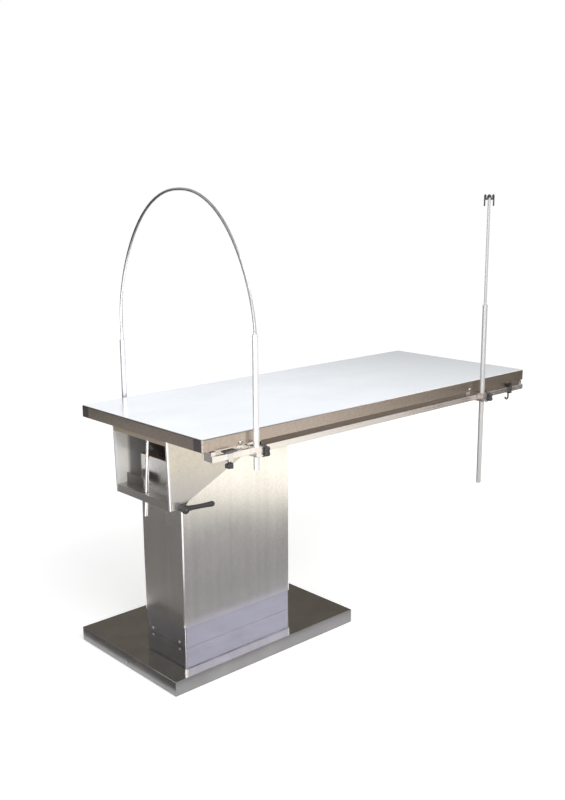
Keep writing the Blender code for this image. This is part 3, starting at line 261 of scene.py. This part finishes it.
def top_finish():
    """The top's sheet: pale satin steel above, and a mottled rim round its sides, painted darker and browner
    as painted reflection.
    """
    finish = Finish("top_finish", (0.83, 0.87, 0.92), 0.22)
    upward = finish.mask(finish.normal_part("Z"), 0.75, 0.92)
    marks = finish.noise(1.0, detail=2.0, stretch=BRUSHED_X)
    clouds = finish.mask(finish.noise(4.0, detail=5.0, stretch=(1.0, 1.6, 1.0)))
    mottle = finish.mask(finish.noise(130.0, detail=4.0, roughness=0.7))
    along = finish.place_part("X")
    # Painted shade: the face and the rim darken towards the foot end.
    foot_shade = finish.mask(along, FACE_FADE, FOOT_END)
    face = finish.mix(clouds, (0.80, 0.84, 0.89), (0.88, 0.915, 0.955))
    face = finish.mix(foot_shade, face, (0.61, 0.635, 0.66))
    # Painted reflection: the rim's colours are darker and browner than the face's.
    rim = finish.mix(mottle, (0.445, 0.382, 0.335), (0.578, 0.502, 0.442))
    rim_foot = finish.mix(mottle, (0.205, 0.166, 0.132), (0.285, 0.236, 0.188))
    rim = finish.mix(finish.mask(along, RIM_FADE, FOOT_END), rim, rim_foot)
    sides = finish.maths("ABSOLUTE", finish.place_part("Y"))
    corner = finish.mask(sides, CORNER_START, CORNER_FULL)
    head = finish.mask(finish.normal_part("X"), -0.6, -0.9)
    rim = finish.mix(finish.maths("MULTIPLY", corner, head), rim, (0.26, 0.22, 0.23))
    # Painted shade: a dark line over the rounded upper edge, faintest towards the foot.
    edge = finish.mask(finish.normal_part("Z"), 0.15, 0.35)
    edge = finish.maths("MULTIPLY", edge, finish.spread(along, 0.9, 0.2, 0.0, EDGE_FADE_END))
    rim = finish.mix(edge, rim, (0.20, 0.185, 0.17))
    finish.set(finish.shader, "Base Color", finish.mix(upward, rim, face))
    sheen = finish.spread(upward, 0.34, 0.22, 0.0, 1.0)
    finish.set(finish.shader, "Roughness", finish.maths("ADD", sheen, finish.spread(marks, -0.04, 0.04)))
    finish.bump(marks, strength=0.04, distance=0.0004)
    return finish


def paint_hem_highlight(finish):
    """Paint a highlight on a cheek's rolled front edge."""
    lean = finish.maths("MULTIPLY", finish.place_part("Z"), HEM_LEAN)
    back = finish.maths("ADD", finish.place_part("X"), lean)
    repaint(finish, finish.mask(back, HEM_BACK + 0.002, HEM_BACK), (0.96, 0.955, 0.98))


def near_cheek_finish():
    """The near cheek: warm and blotchy above, darker and cooler below by painted shade, with a painted
    highlight at its lower front corner.
    """
    finish = grained("near_cheek_finish", CHEEK_COLOUR, 0.34, BRUSHED_Z, 0.10)
    blotches = finish.spread(finish.noise(75.0, detail=4.0, roughness=0.65), 0.0, 0.5, 0.42, 0.75)
    repaint(finish, blotches, toned(CHEEK_COLOUR, 0.75))
    # Painted shade: darker and cooler below.
    low = finish.spread(finish.place_part("Z"), 0.75, 0.0, CHEEK_COOL, CHEEK_WARM)
    repaint(finish, low, (0.605, 0.60, 0.62))
    # Painted highlight at the lower front corner.
    slope = finish.maths("MULTIPLY", finish.place_part("X"), CORNER_SLOPE)
    corner = finish.maths("ADD", finish.place_part("Z"), slope)
    wear_and_highlight = finish.mask(corner, CORNER_EDGE, CORNER_EDGE - 0.004)
    repaint(finish, wear_and_highlight, (0.95, 0.945, 0.95))
    paint_hem_highlight(finish)
    return finish


def far_cheek_finish():
    """The far cheek: steel outside; inside, a nearly matte blasted skin painted pale as painted light, with
    painted shade where the column stands close.
    """
    # The pale base colour, left on the inner face, is painted light.
    finish = grained("far_cheek_finish", (1.0, 0.945, 0.885), 0.34, BRUSHED_Z, 0.10)
    outer = finish.mask(finish.normal_part("Y"), -0.9, -0.6)
    shaded = finish.spread(finish.place_part("X"), 0.0, 0.8, SHADE_START, SHADE_END)
    repaint(finish, shaded, (0.17, 0.17, 0.167))
    repaint(finish, outer, CHEEK_COLOUR)
    finish.set(finish.shader, "Metallic", finish.spread(outer, 0.15, 1.0, 0.0, 1.0))
    paint_hem_highlight(finish)
    return finish


def lower_column_finish():
    """The lower column: cool blasted steel, with painted shade on its bent upright edges."""
    finish = grained("lower_column_finish", (0.76, 0.76, 0.79), 0.22, BRUSHED_X)
    # Painted shade on the rounded upright edges, found from the face's direction.
    bend = finish.maths("MULTIPLY", finish.normal_part("X"), finish.normal_part("Y"))
    bend = finish.mask(finish.maths("ABSOLUTE", bend), 0.05, 0.20)
    repaint(finish, bend, (0.42, 0.41, 0.45))
    return finish


def rail_finish():
    """The rails' brushed steel, darker towards the foot by painted shade, with darker rim bolts."""
    finish = brushed("rail_finish", (0.86, 0.83, 0.80), 0.30, BRUSHED_X)
    # Painted shade: the rails darken towards the foot.
    painted_shade = finish.mask(finish.place_part("X"), RAIL_FADE_START, RAIL_FADE_END)
    repaint(finish, painted_shade, (0.60, 0.55, 0.52))
    raised = finish.mask(finish.place_part("Z"), BOLT_FOOT - 0.001, BOLT_FOOT)
    repaint(finish, raised, (0.38, 0.34, 0.30))
    return finish


def cleat_finish():
    """The cleat: a dark cap plate over a pale body."""
    finish = grained("cleat_finish", (0.78, 0.76, 0.74), 0.32, BRUSHED_X)
    cap = finish.mask(finish.place_part("Z"), CLEAT_SEAM, CLEAT_SEAM + 0.001)
    repaint(finish, cap, (0.20, 0.19, 0.20))
    return finish


def bow_finish():
    """The bow's ground rod, darker towards its crown by painted reflection."""
    finish = Finish("bow_finish", (0.4, 0.4, 0.41), 0.3)
    # Painted reflection: pale legs, dark crown.
    raised = finish.mask(finish.place_part("Z"), BOW_BRIGHT, BOW_DARK)
    wear_and_highlight = finish.mask(finish.noise(60.0, detail=3.0))
    legs = finish.mix(wear_and_highlight, (0.68, 0.68, 0.68), (0.76, 0.76, 0.76))
    crown = finish.mix(wear_and_highlight, (0.27, 0.265, 0.26), (0.36, 0.355, 0.35))
    finish.set(finish.shader, "Base Color", finish.mix(raised, legs, crown))
    return finish


def base_finish():
    """The base cover: mirror polish on top and a satin rim, painted darker as painted shade."""
    finish = Finish("base_finish", (0.60, 0.59, 0.58), 0.08)
    upward = finish.mask(finish.normal_part("Z"), 0.4, 0.6)
    clouds = finish.mask(finish.noise(14.0, detail=5.0))
    face = finish.mix(clouds, (0.60, 0.585, 0.56), (0.68, 0.665, 0.64))
    # Painted shade: the rim's colours are darker than the top's.
    rim = finish.mix(clouds, (0.27, 0.265, 0.265), (0.33, 0.325, 0.325))
    finish.set(finish.shader, "Base Color", finish.mix(upward, rim, face))
    sheen = finish.spread(upward, 0.32, 0.07, 0.0, 1.0)
    wear_and_highlight = finish.spread(clouds, -0.02, 0.04, 0.0, 1.0)
    finish.set(finish.shader, "Roughness", finish.maths("ADD", sheen, wear_and_highlight))
    return finish


FINISHES = {
    "top_steel": top_finish(),
    "column_steel": grained("column_finish", (0.88, 0.865, 0.845), 0.22, BRUSHED_Z, 0.10),
    "base_steel": base_finish(),
    "bracket_steel": grained("bracket_finish", (0.66, 0.625, 0.555), 0.34, BRUSHED_Z, 0.04),
    "rail_steel": rail_finish(),
    "rod_steel": brushed("rod_finish", (0.84, 0.83, 0.82), 0.24, BRUSHED_Z),
    # The frame's dark brown is painted shade: it stands for the shade under the top, seen below the rim.
    "dark_steel": grained("frame_finish", (0.27, 0.215, 0.165), 0.5, BRUSHED_X, 0.12, 0.25),
    "cast_aluminium": brushed("cast_finish", (0.42, 0.42, 0.43), 0.5, BRUSHED_Y),
    "black_plastic": plastic("black_finish", (0.050, 0.048, 0.047), 0.36),
    "white_nylon": plastic("nylon_finish", (0.78, 0.77, 0.73), 0.5),
}

BRIGHT_TUBE = brushed("bright_tube_finish", (0.90, 0.90, 0.905), 0.52, BRUSHED_Z)
DULL_TUBE = brushed("dull_tube_finish", (0.61, 0.61, 0.61), 0.50, BRUSHED_Z)
# Nodes whose finish differs from the rest of their slot
NODE_FINISHES = {
    "lower_column": lower_column_finish(),
    "cheek_near": near_cheek_finish(),
    "cheek_far": far_cheek_finish(),
    "tilt_quadrant": FINISHES["dark_steel"],
    "cleat": cleat_finish(),
    "cross_tray": grained("tray_finish", (0.52, 0.505, 0.49), 0.34, BRUSHED_Y, 0.05),
    # The stay bracket's near-black is painted shade under the top.
    "stay_bracket": grained("stay_bracket_finish", (0.20, 0.18, 0.18), 0.42, BRUSHED_X),
    "base_plate": FINISHES["cast_aluminium"],
    "column_flange": FINISHES["cast_aluminium"],
    "bow_tube_near": BRIGHT_TUBE,
    "bow_tube_far": BRIGHT_TUBE,
    "pole_tube": DULL_TUBE,
    "pole_rod": DULL_TUBE,
    "rail_hook": brushed("hook_finish", (0.16, 0.15, 0.15), 0.35, BRUSHED_X),
    "bow": bow_finish(),
}


def dress_nodes():
    """Give every CAD node the finish of its slot, or its own."""
    for part in frame["record"]["subparts"]:
        finish = NODE_FINISHES.get(part["node"], FINISHES[part["material_slot"]])
        mesh = NODES[part["node"]].data
        mesh.materials.clear()
        mesh.materials.append(finish.material)


# Edges sharper than this stay crisp, and pieces that only touch keep a seam
SHARP = math.radians(35.0)
SEAM = 0.0003


def link(item):
    bpy.context.scene.collection.objects.link(item)
    return item


def new_piece(name, body, slot, finish, *lofts):
    """A piece that the looks add, riding on a body, made of closed lofts of rings."""
    bm = bmesh.new()
    for rings in lofts:
        loft(bm, rings)
    bmesh.ops.recalc_face_normals(bm, faces=bm.faces)
    mesh = bpy.data.meshes.new(name)
    bm.to_mesh(mesh)
    bm.free()
    mesh.polygons.foreach_set("use_smooth", [True] * len(mesh.polygons))
    mesh.set_sharp_from_angle(angle=SHARP)
    mesh.materials.append(finish.material)
    piece = link(bpy.data.objects.new(name, mesh))
    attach(piece, body)
    return piece


def loft(bm, rings):
    """Skin rings of equal count, and close both ends."""
    rows = [[bm.verts.new(point) for point in ring] for ring in rings]
    bm.faces.new(rows[0])
    bm.faces.new(rows[-1][::-1])
    count = len(rows[0])
    for low, high in zip(rows, rows[1:]):
        for k in range(count):
            after = (k + 1) % count
            bm.faces.new((low[k], high[k], high[after], low[after]))


def put(axis, along, u, v):
    """A point from its place along an axis and its two other parts in the order X, Y, Z."""
    parts = [u, v]
    parts.insert("XYZ".index(axis), along)
    return Vector(parts)


def full_turn(count):
    return [2 * math.pi * k / count for k in range(count)]


def quarter_turn(steps):
    return [math.pi / 2 * k / steps for k in range(steps + 1)]


def rounding(start, size, steps=5):
    """Pairs of a place along an axis and an inset, over a quarter round that begins at start."""
    return [(start + size * (1 - math.cos(t)), abs(size) * (1 - math.sin(t))) for t in quarter_turn(steps)]


# The strips' sheet and level leg, then each one's lowest point and half its width
STRIP_SHEET = 0.0015
STRIP_LEG = 0.017
HEAD_STRIP_FOOT = 0.652
HEAD_STRIP_HALF = 0.1215
FOOT_STRIP_FOOT = 0.632
FOOT_STRIP_HALF = 0.262


def angle_strip(x, inward, low, half_width):
    """A folded strip under the long beams: an upright leg at x and a level leg turned inward."""
    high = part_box("long_beam_near")[0].z - SEAM
    fold, toe = x + inward * STRIP_SHEET, x + inward * STRIP_LEG
    shelf = low + STRIP_SHEET
    outline = ((x, high), (x, low), (toe, low), (toe, shelf), (fold, shelf), (fold, high))
    return [[(u, side * half_width, v) for u, v in outline] for side in (-1, 1)]


def add_strips():
    """Folded strips behind the end rims, which close the frame under the top."""
    tan = grained("strip_finish", (0.50, 0.42, 0.33), 0.4, BRUSHED_Y, 0.12, 0.7)
    head, foot = (corner.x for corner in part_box("long_beam_near"))
    new_piece("head_strip", "tilt", "bracket_steel", tan,
              angle_strip(head, 1, HEAD_STRIP_FOOT, HEAD_STRIP_HALF))
    new_piece("foot_strip", "tilt", "dark_steel", FINISHES["dark_steel"],
              angle_strip(foot, -1, FOOT_STRIP_FOOT, FOOT_STRIP_HALF))


GUSSET_SHEET = 0.002
GUSSET_RISE = 0.028
GUSSET_INNER_Y = 0.040
GUSSET_OUTER_Y = 0.1208
GUSSET_CORNER = 0.012
GUSSET_STEPS = 8


def add_tray_gusset():
    """A stiffening plate on the tray's back edge, beside the far cheek, with one round upper corner."""
    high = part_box("cross_tray")[1]
    foot = high.z + SEAM
    top = foot + GUSSET_RISE
    outline = [(GUSSET_INNER_Y, foot)]
    corner = rounding(GUSSET_INNER_Y, GUSSET_CORNER, GUSSET_STEPS)
    outline += [(along, top - inset) for along, inset in corner]
    outline += [(GUSSET_OUTER_Y, top), (GUSSET_OUTER_Y, foot)]
    faces = [[(x, y, z) for y, z in outline] for x in (high.x - GUSSET_SHEET, high.x)]
    # The plate's dark colour is painted shade, like the far cheek's shaded stretch beside it.
    painted_shade = grained("gusset_finish", (0.20, 0.195, 0.185), 0.4, BRUSHED_Y, 0.06)
    new_piece("tray_gusset", "tilt", "bracket_steel", painted_shade, faces)


KNOB_SIDES = 60
KNOB_LOBES = 5
KNOB_STEM_RADIUS = 0.005
KNOB_EDGE = 0.003
# The dish in a grip's face: its share of the grip, its floor's share of it, and its depth
KNOB_DISH_SHARE = 0.5
KNOB_FLOOR_SHARE = 0.8
KNOB_DISH_DEPTH = KNOB_EDGE / 2
# The insert's rise off the dish, with its radius as a share of the dish
INSERT_SEAM = 0.0002
INSERT_STEPS = ((0.0, 0.72), (0.0008, 0.72), (0.0014, 0.55), (0.0016, 0.2))
# Each clamp's knob, with X of the face that its stem starts from, and its side of the table
CLAMP_KNOBS = (("bow_knob_near", -0.0957, -1), ("bow_knob_far", -0.0957, 1), ("pole_knob", 0.8783, -1))
CLAMP_KNOB_OFFSET = 0.3145
CLAMP_KNOB_HEIGHT = 0.6445
CLEAT_KNOB_PLACE = (-0.19, -0.294)
CLEAT_KNOB_START = 0.6322


def star_knob(name, body, axis, centre, start, direction, radius, thickness, stem, lobe):
    """A moulded star grip with soft edges and a dished face, and the steel insert in its middle."""
    turns = full_turn(KNOB_SIDES)

    def ring(along, size, wave=0.0):
        rims = [size - wave * (1 - math.cos(KNOB_LOBES * t)) for t in turns]
        return [put(axis, start + direction * along, centre[0] + r * math.cos(t), centre[1] + r * math.sin(t))
                for r, t in zip(rims, turns)]

    end = stem + thickness
    dish = KNOB_DISH_SHARE * (radius - lobe)
    floor = end - KNOB_DISH_DEPTH
    rings = [ring(0.0, KNOB_STEM_RADIUS), ring(stem, KNOB_STEM_RADIUS)]
    rings += [ring(along, radius - inset, lobe) for along, inset in rounding(stem, KNOB_EDGE)]
    rings += [ring(along, radius - inset, lobe) for along, inset in reversed(rounding(end, -KNOB_EDGE))]
    rings += [ring(end, dish), ring(floor, KNOB_FLOOR_SHARE * dish)]
    grip = new_piece(name + "_grip", body, "black_plastic", FINISHES["black_plastic"], rings)
    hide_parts(name)
    new_piece(name + "_insert", body, "rod_steel", FINISHES["rod_steel"],
              [ring(floor + INSERT_SEAM + along, share * dish) for along, share in INSERT_STEPS])


def add_knobs():
    """Grips on the three clamps, lying along the rails, and one under the cleat."""
    for name, x, side in CLAMP_KNOBS:
        star_knob(name, name, "X", (side * CLAMP_KNOB_OFFSET, CLAMP_KNOB_HEIGHT), x, 1,
                  radius=0.0185, thickness=0.013, stem=0.002, lobe=0.0024)
    star_knob("cleat_knob", "cleat_knob", "Z", CLEAT_KNOB_PLACE, CLEAT_KNOB_START, -1,
              radius=0.0118, thickness=0.013, stem=0.006, lobe=0.0018)


# X and Z of the lever's axis, and Y of the lug's face that its hub starts from
LEVER_AXIS = (-0.2235, 0.4735)
LEVER_FACE = -0.1266
LEVER_SIDES = 32
LEVER_HUB_LENGTH = 0.024
LEVER_HUB_RADIUS = 0.0125
LEVER_HUB_NECK = 0.0095
LEVER_NECK_SHARE = 0.3
LEVER_HUB_EDGE = 0.0035
LEVER_DISH_RADIUS = 0.005
LEVER_DISH_DEPTH = 0.0015
LEVER_REACH = 0.090
LEVER_SPLAY = 0.016
LEVER_ARM_START = 0.014
LEVER_WAIST = 0.0066
LEVER_SWELL = 0.0086
LEVER_STATIONS = 22
LEVER_FLATNESS = 0.8
# The arm's last ring keeps this square of the arm's size, so that its round end doesn't close
LEVER_TIP = 0.02
# The socket screw's rise off the hub's dish, with its radius
SCREW_STEPS = ((0.0002, 0.0044), (0.0013, 0.0044), (0.0019, 0.0036), (0.0019, 0.0022), (0.0003, 0.0022))


def add_lever():
    """The clamp lever: a flared hub, a waisted arm with a round end, and its socket screw."""
    turns = full_turn(LEVER_SIDES)

    def hub_ring(along, size):
        return [(LEVER_AXIS[0] + size * math.cos(t), LEVER_FACE - along, LEVER_AXIS[1] + size * math.sin(t))
                for t in turns]

    end = LEVER_HUB_LENGTH
    face = end - LEVER_DISH_DEPTH
    hub = [hub_ring(0.0, LEVER_HUB_NECK), hub_ring(LEVER_NECK_SHARE * end, LEVER_HUB_NECK)]
    flare = reversed(rounding(end, -LEVER_HUB_EDGE))
    hub += [hub_ring(along, LEVER_HUB_RADIUS - inset) for along, inset in flare]
    hub += [hub_ring(end, LEVER_DISH_RADIUS), hub_ring(face, LEVER_DISH_RADIUS)]

    arm = []
    for k in range(LEVER_STATIONS + 1):
        share = math.sin(math.pi / 2 * k / LEVER_STATIONS)
        bulge = LEVER_WAIST + (LEVER_SWELL - LEVER_WAIST) * (2 * share - 1) ** 2
        past = max(0.0, (LEVER_REACH * (share - 1) + LEVER_SWELL) / LEVER_SWELL)
        size = bulge * math.sqrt(max(LEVER_TIP, 1 - past ** 2))
        middle = Vector((LEVER_AXIS[0] + LEVER_REACH * share,
                         LEVER_FACE - LEVER_ARM_START - LEVER_SPLAY * share,
                         LEVER_AXIS[1]))
        arm.append([middle + Vector((0.0, LEVER_FLATNESS * size * math.cos(t), size * math.sin(t)))
                    for t in turns])
    lever = new_piece("clamp_lever_handle", "lever", "black_plastic", FINISHES["black_plastic"], hub, arm)
    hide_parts("clamp_lever")
    screw = [hub_ring(face + along, size) for along, size in SCREW_STEPS]
    # The screw takes the stay bracket's dark finish, painted dark so that it shows no highlight.
    new_piece("clamp_lever_screw", "lever", "dark_steel", NODE_FINISHES["stay_bracket"], screw)


def combined(tree, operation, first, second):
    """The result of a Math node on two values."""
    node = tree.nodes.new("ShaderNodeMath")
    node.operation = operation
    tree.links.new(first, node.inputs[0])
    tree.links.new(second, node.inputs[1])
    return node.outputs["Value"]


def ramp(tree, value, start, end, low=0.0, high=1.0, kind="LINEAR"):
    """A value's stretch from start to end, mapped to low and high."""
    node = tree.nodes.new("ShaderNodeMapRange")
    node.interpolation_type = kind
    tree.links.new(value, node.inputs["Value"])
    for socket, number in (("From Min", start), ("From Max", end), ("To Min", low), ("To Max", high)):
        node.inputs[socket].default_value = number
    return node.outputs["Result"]


def seen_directly(tree):
    """One for rays that come from the camera, a reflection or a transmission, and else zero."""
    path = tree.nodes.new("ShaderNodeLightPath")
    total = path.outputs["Is Camera Ray"]
    for name in ("Is Glossy Ray", "Is Transmission Ray"):
        total = combined(tree, "MAXIMUM", total, path.outputs[name])
    return total


def sheet(name, corners):
    """A flat stage sheet through four corners."""
    mesh = bpy.data.meshes.new(name)
    mesh.from_pydata([tuple(corner) for corner in corners], [], [tuple(range(len(corners)))])
    return link(bpy.data.objects.new(name, mesh))


# Level directions in which the column's left and near faces mirror the studio for the camera
LEFT_BACK = Vector((-0.62, 0.785, 0.0))
RIGHT_FRONT = Vector((0.62, -0.785, 0.0))
ACROSS = Vector((0.785, 0.62, 0.0))
FOOTWARD = (1.0, 0.0, 0.0)
UPWARD = (0.0, 0.0, 1.0)
FLAG_RISE = 0.004


def floor_patch(x0, x1, y0, y1, height=FLAG_RISE):
    return [(x0, y0, height), (x1, y0, height), (x1, y1, height), (x0, y1, height)]


def turned_patch(origin, along, across, near, far, half_width):
    """Corners of a level sheet that runs along a direction, from near to far of an origin."""
    up = Vector((0.0, 0.0, FLAG_RISE))
    ends = ((near, -half_width), (far, -half_width), (far, half_width), (near, half_width))
    return [origin + along * u + across * v + up for u, v in ends]


def upright(start, end, low, high):
    return [(*start, low), (*end, low), (*end, high), (*start, high)]


FLOOR_REACH = 30.0
FLOOR_HEIGHT = -0.0005
FLOOR_COLOUR = (0.85, 0.85, 0.85, 1.0)
WHITE = (1.0, 1.0, 1.0, 1.0)
# The floor's glow, and the distances from the column between which it changes
FLOOR_GLOW_NEAR = 0.49
FLOOR_GLOW_FAR = 0.62
FLOOR_GLOW_START = 0.7
FLOOR_GLOW_END = 2.2
# The world's strength where it lights the object, and where it is seen
WORLD_LIGHT = 0.45
WORLD_SEEN = 1.0


def make_floor():
    """A pale floor that glows a little less near the object, so that its shadow shows."""
    reach = FLOOR_REACH
    floor = sheet("studio_floor", floor_patch(-reach, reach, -reach, reach, FLOOR_HEIGHT))
    material = bpy.data.materials.new("studio_floor")
    material.use_nodes = True
    tree = material.node_tree
    shader = tree.nodes["Principled BSDF"]
    shader.inputs["Base Color"].default_value = FLOOR_COLOUR
    shader.inputs["Roughness"].default_value = 0.9
    shader.inputs["Specular IOR Level"].default_value = 0.0
    shader.inputs["Emission Color"].default_value = WHITE
    place = tree.nodes.new("ShaderNodeTexCoord")
    distance = tree.nodes.new("ShaderNodeVectorMath")
    distance.operation = "LENGTH"
    tree.links.new(place.outputs["Object"], distance.inputs[0])
    level = ramp(tree, distance.outputs["Value"], FLOOR_GLOW_START, FLOOR_GLOW_END,
                 FLOOR_GLOW_NEAR, FLOOR_GLOW_FAR)
    glow = combined(tree, "MULTIPLY", seen_directly(tree), level)
    tree.links.new(glow, shader.inputs["Emission Strength"])
    floor.data.materials.append(material)


def make_world():
    """A white surrounding that lights the object at a lower level than it is seen."""
    world = bpy.data.worlds.new("studio")
    world.use_nodes = True
    tree = world.node_tree
    background = tree.nodes["Background"]
    background.inputs["Color"].default_value = WHITE
    strength = ramp(tree, seen_directly(tree), 0.0, 1.0, WORLD_LIGHT, WORLD_SEEN)
    tree.links.new(strength, background.inputs["Strength"])
    bpy.context.scene.world = world


def make_flag(name, corners, near, far=None, along=UPWARD, start=0.0, end=1.0):
    """A studio flag that only reflections see. Its colour goes from near to far along a direction."""
    flag = sheet(name, corners)
    flag.visible_camera = False
    flag.visible_diffuse = False
    flag.visible_transmission = False
    flag.visible_volume_scatter = False
    flag.visible_shadow = False
    material = bpy.data.materials.new(name)
    material.use_nodes = True
    tree = material.node_tree
    tree.nodes.clear()
    place = tree.nodes.new("ShaderNodeTexCoord")
    dot = tree.nodes.new("ShaderNodeVectorMath")
    dot.operation = "DOT_PRODUCT"
    tree.links.new(place.outputs["Object"], dot.inputs[0])
    dot.inputs[1].default_value = along
    colour = tree.nodes.new("ShaderNodeMix")
    colour.data_type = "RGBA"
    share = ramp(tree, dot.outputs["Value"], start, end, kind="SMOOTHSTEP")
    tree.links.new(share, colour.inputs["Factor"])
    colour.inputs[MIX_FIRST].default_value = (*near, 1.0)
    colour.inputs[MIX_SECOND].default_value = (*(far or near), 1.0)
    glow = tree.nodes.new("ShaderNodeEmission")
    tree.links.new(colour.outputs[MIX_RESULT], glow.inputs["Color"])
    output = tree.nodes.new("ShaderNodeOutputMaterial")
    tree.links.new(glow.outputs["Emission"], output.inputs["Surface"])
    flag.data.materials.append(material)


WARM_WHITE = (1.0, 0.97, 0.95)
DARK_CLOTH = (0.10, 0.097, 0.095)
SKY = (0.72, 0.72, 0.88)


def make_flags():
    """Dark flags, pale cards and floor cloths that give the bare steel something to mirror."""
    make_flag("flag_left_near", floor_patch(-2.4, -0.35, -0.30, 1.58),
              near=(0.18, 0.173, 0.164), far=(0.17, 0.163, 0.155), along=LEFT_BACK, start=0.3, end=1.6)
    column_edge = Vector((-0.20, 0.0, 0.0))
    far_cloth = turned_patch(column_edge, LEFT_BACK, ACROSS, near=2.45, far=7.0, half_width=3.0)
    make_flag("flag_left_far", far_cloth,
              near=(0.10, 0.095, 0.09), far=(0.07, 0.066, 0.062), along=LEFT_BACK, start=2.5, end=4.0)
    make_flag("flag_left_high", upright((-1.9, 0.5), (-0.2, 2.2), 0.55, 1.5), DARK_CLOTH)
    make_flag("flag_behind", upright((-0.35, 0.52), (2.4, 0.52), 0.06, 0.65),
              near=(0.15, 0.135, 0.117), far=(0.13, 0.117, 0.10), along=FOOTWARD, start=-0.3, end=1.2)
    make_flag("flag_front", floor_patch(-0.6, 2.6, -2.9, -0.285),
              near=(0.31, 0.307, 0.31), far=(1.5, 1.43, 1.26), along=RIGHT_FRONT, start=1.10, end=1.75)
    make_flag("flag_right", floor_patch(1.4, 6.0, -5.5, -1.5),
              near=WARM_WHITE, far=DARK_CLOTH, along=FOOTWARD, start=1.2, end=3.7)
    make_flag("flag_right_high", upright((2.6, -4.4), (6.4, -1.5), 0.0, 1.7),
              near=WARM_WHITE, far=(0.08, 0.077, 0.075), along=FOOTWARD, start=2.7, end=4.4)
    make_flag("card_sky", upright((1.1, -3.4), (3.9, -1.2), 0.9, 3.2), SKY)
    make_flag("card_behind", upright((1.0, 6.6), (6.8, 1.1), 0.0, 3.0),
              near=(0.35, 0.355, 0.36), far=(1.17, 1.175, 1.18), along=UPWARD, start=1.20, end=1.85)


def make_lamp(name, place, target, size, power):
    """A soft rectangular lamp that points at a target."""
    data = bpy.data.lights.new(name, "AREA")
    data.shape = "RECTANGLE"
    data.size, data.size_y = size
    data.energy = power
    lamp = link(bpy.data.objects.new(name, data))
    lamp.location = place
    lamp.rotation_euler = (Vector(target) - Vector(place)).to_track_quat("-Z", "Y").to_euler()


def make_camera():
    """The camera at the photograph's place and angle, with its slight roll."""
    azimuth, elevation = math.radians(CAMERA_AZIMUTH), math.radians(CAMERA_ELEVATION)
    back = Vector((math.sin(azimuth) * math.cos(elevation), -math.cos(azimuth) * math.cos(elevation),
                   math.sin(elevation)))
    right = (-back).cross(Vector((0.0, 0.0, 1.0))).normalized()
    up = back.cross(right)
    turn = math.radians(CAMERA_ROLL)
    rolled_right = right * math.cos(turn) + up * math.sin(turn)
    rolled_up = up * math.cos(turn) - right * math.sin(turn)
    data = bpy.data.cameras.new("camera")
    data.sensor_width = SENSOR
    data.lens = CAMERA_LENS
    camera = link(bpy.data.objects.new("camera", data))
    turned = Matrix((rolled_right, rolled_up, back)).transposed().to_4x4()
    camera.matrix_world = Matrix.Translation(CAMERA_PLACE) @ turned
    bpy.context.scene.camera = camera


dress_nodes()
add_strips()
add_tray_gusset()
add_knobs()
add_lever()
make_floor()
make_world()
make_flags()
make_lamp("key", place=(-0.6, -3.2, 3.4), target=(0.3, 0.0, 0.4), size=(2.4, 1.6), power=70.0)
make_lamp("fill", place=(3.4, -1.0, 2.6), target=(0.3, 0.0, 0.4), size=(2.0, 2.0), power=30.0)
make_lamp("side", place=(-2.6, -1.3, 0.8), target=(-0.2, 0.0, 0.55), size=(1.0, 1.0), power=22.0)
make_camera()
bpy.context.scene.view_settings.view_transform = "Standard"
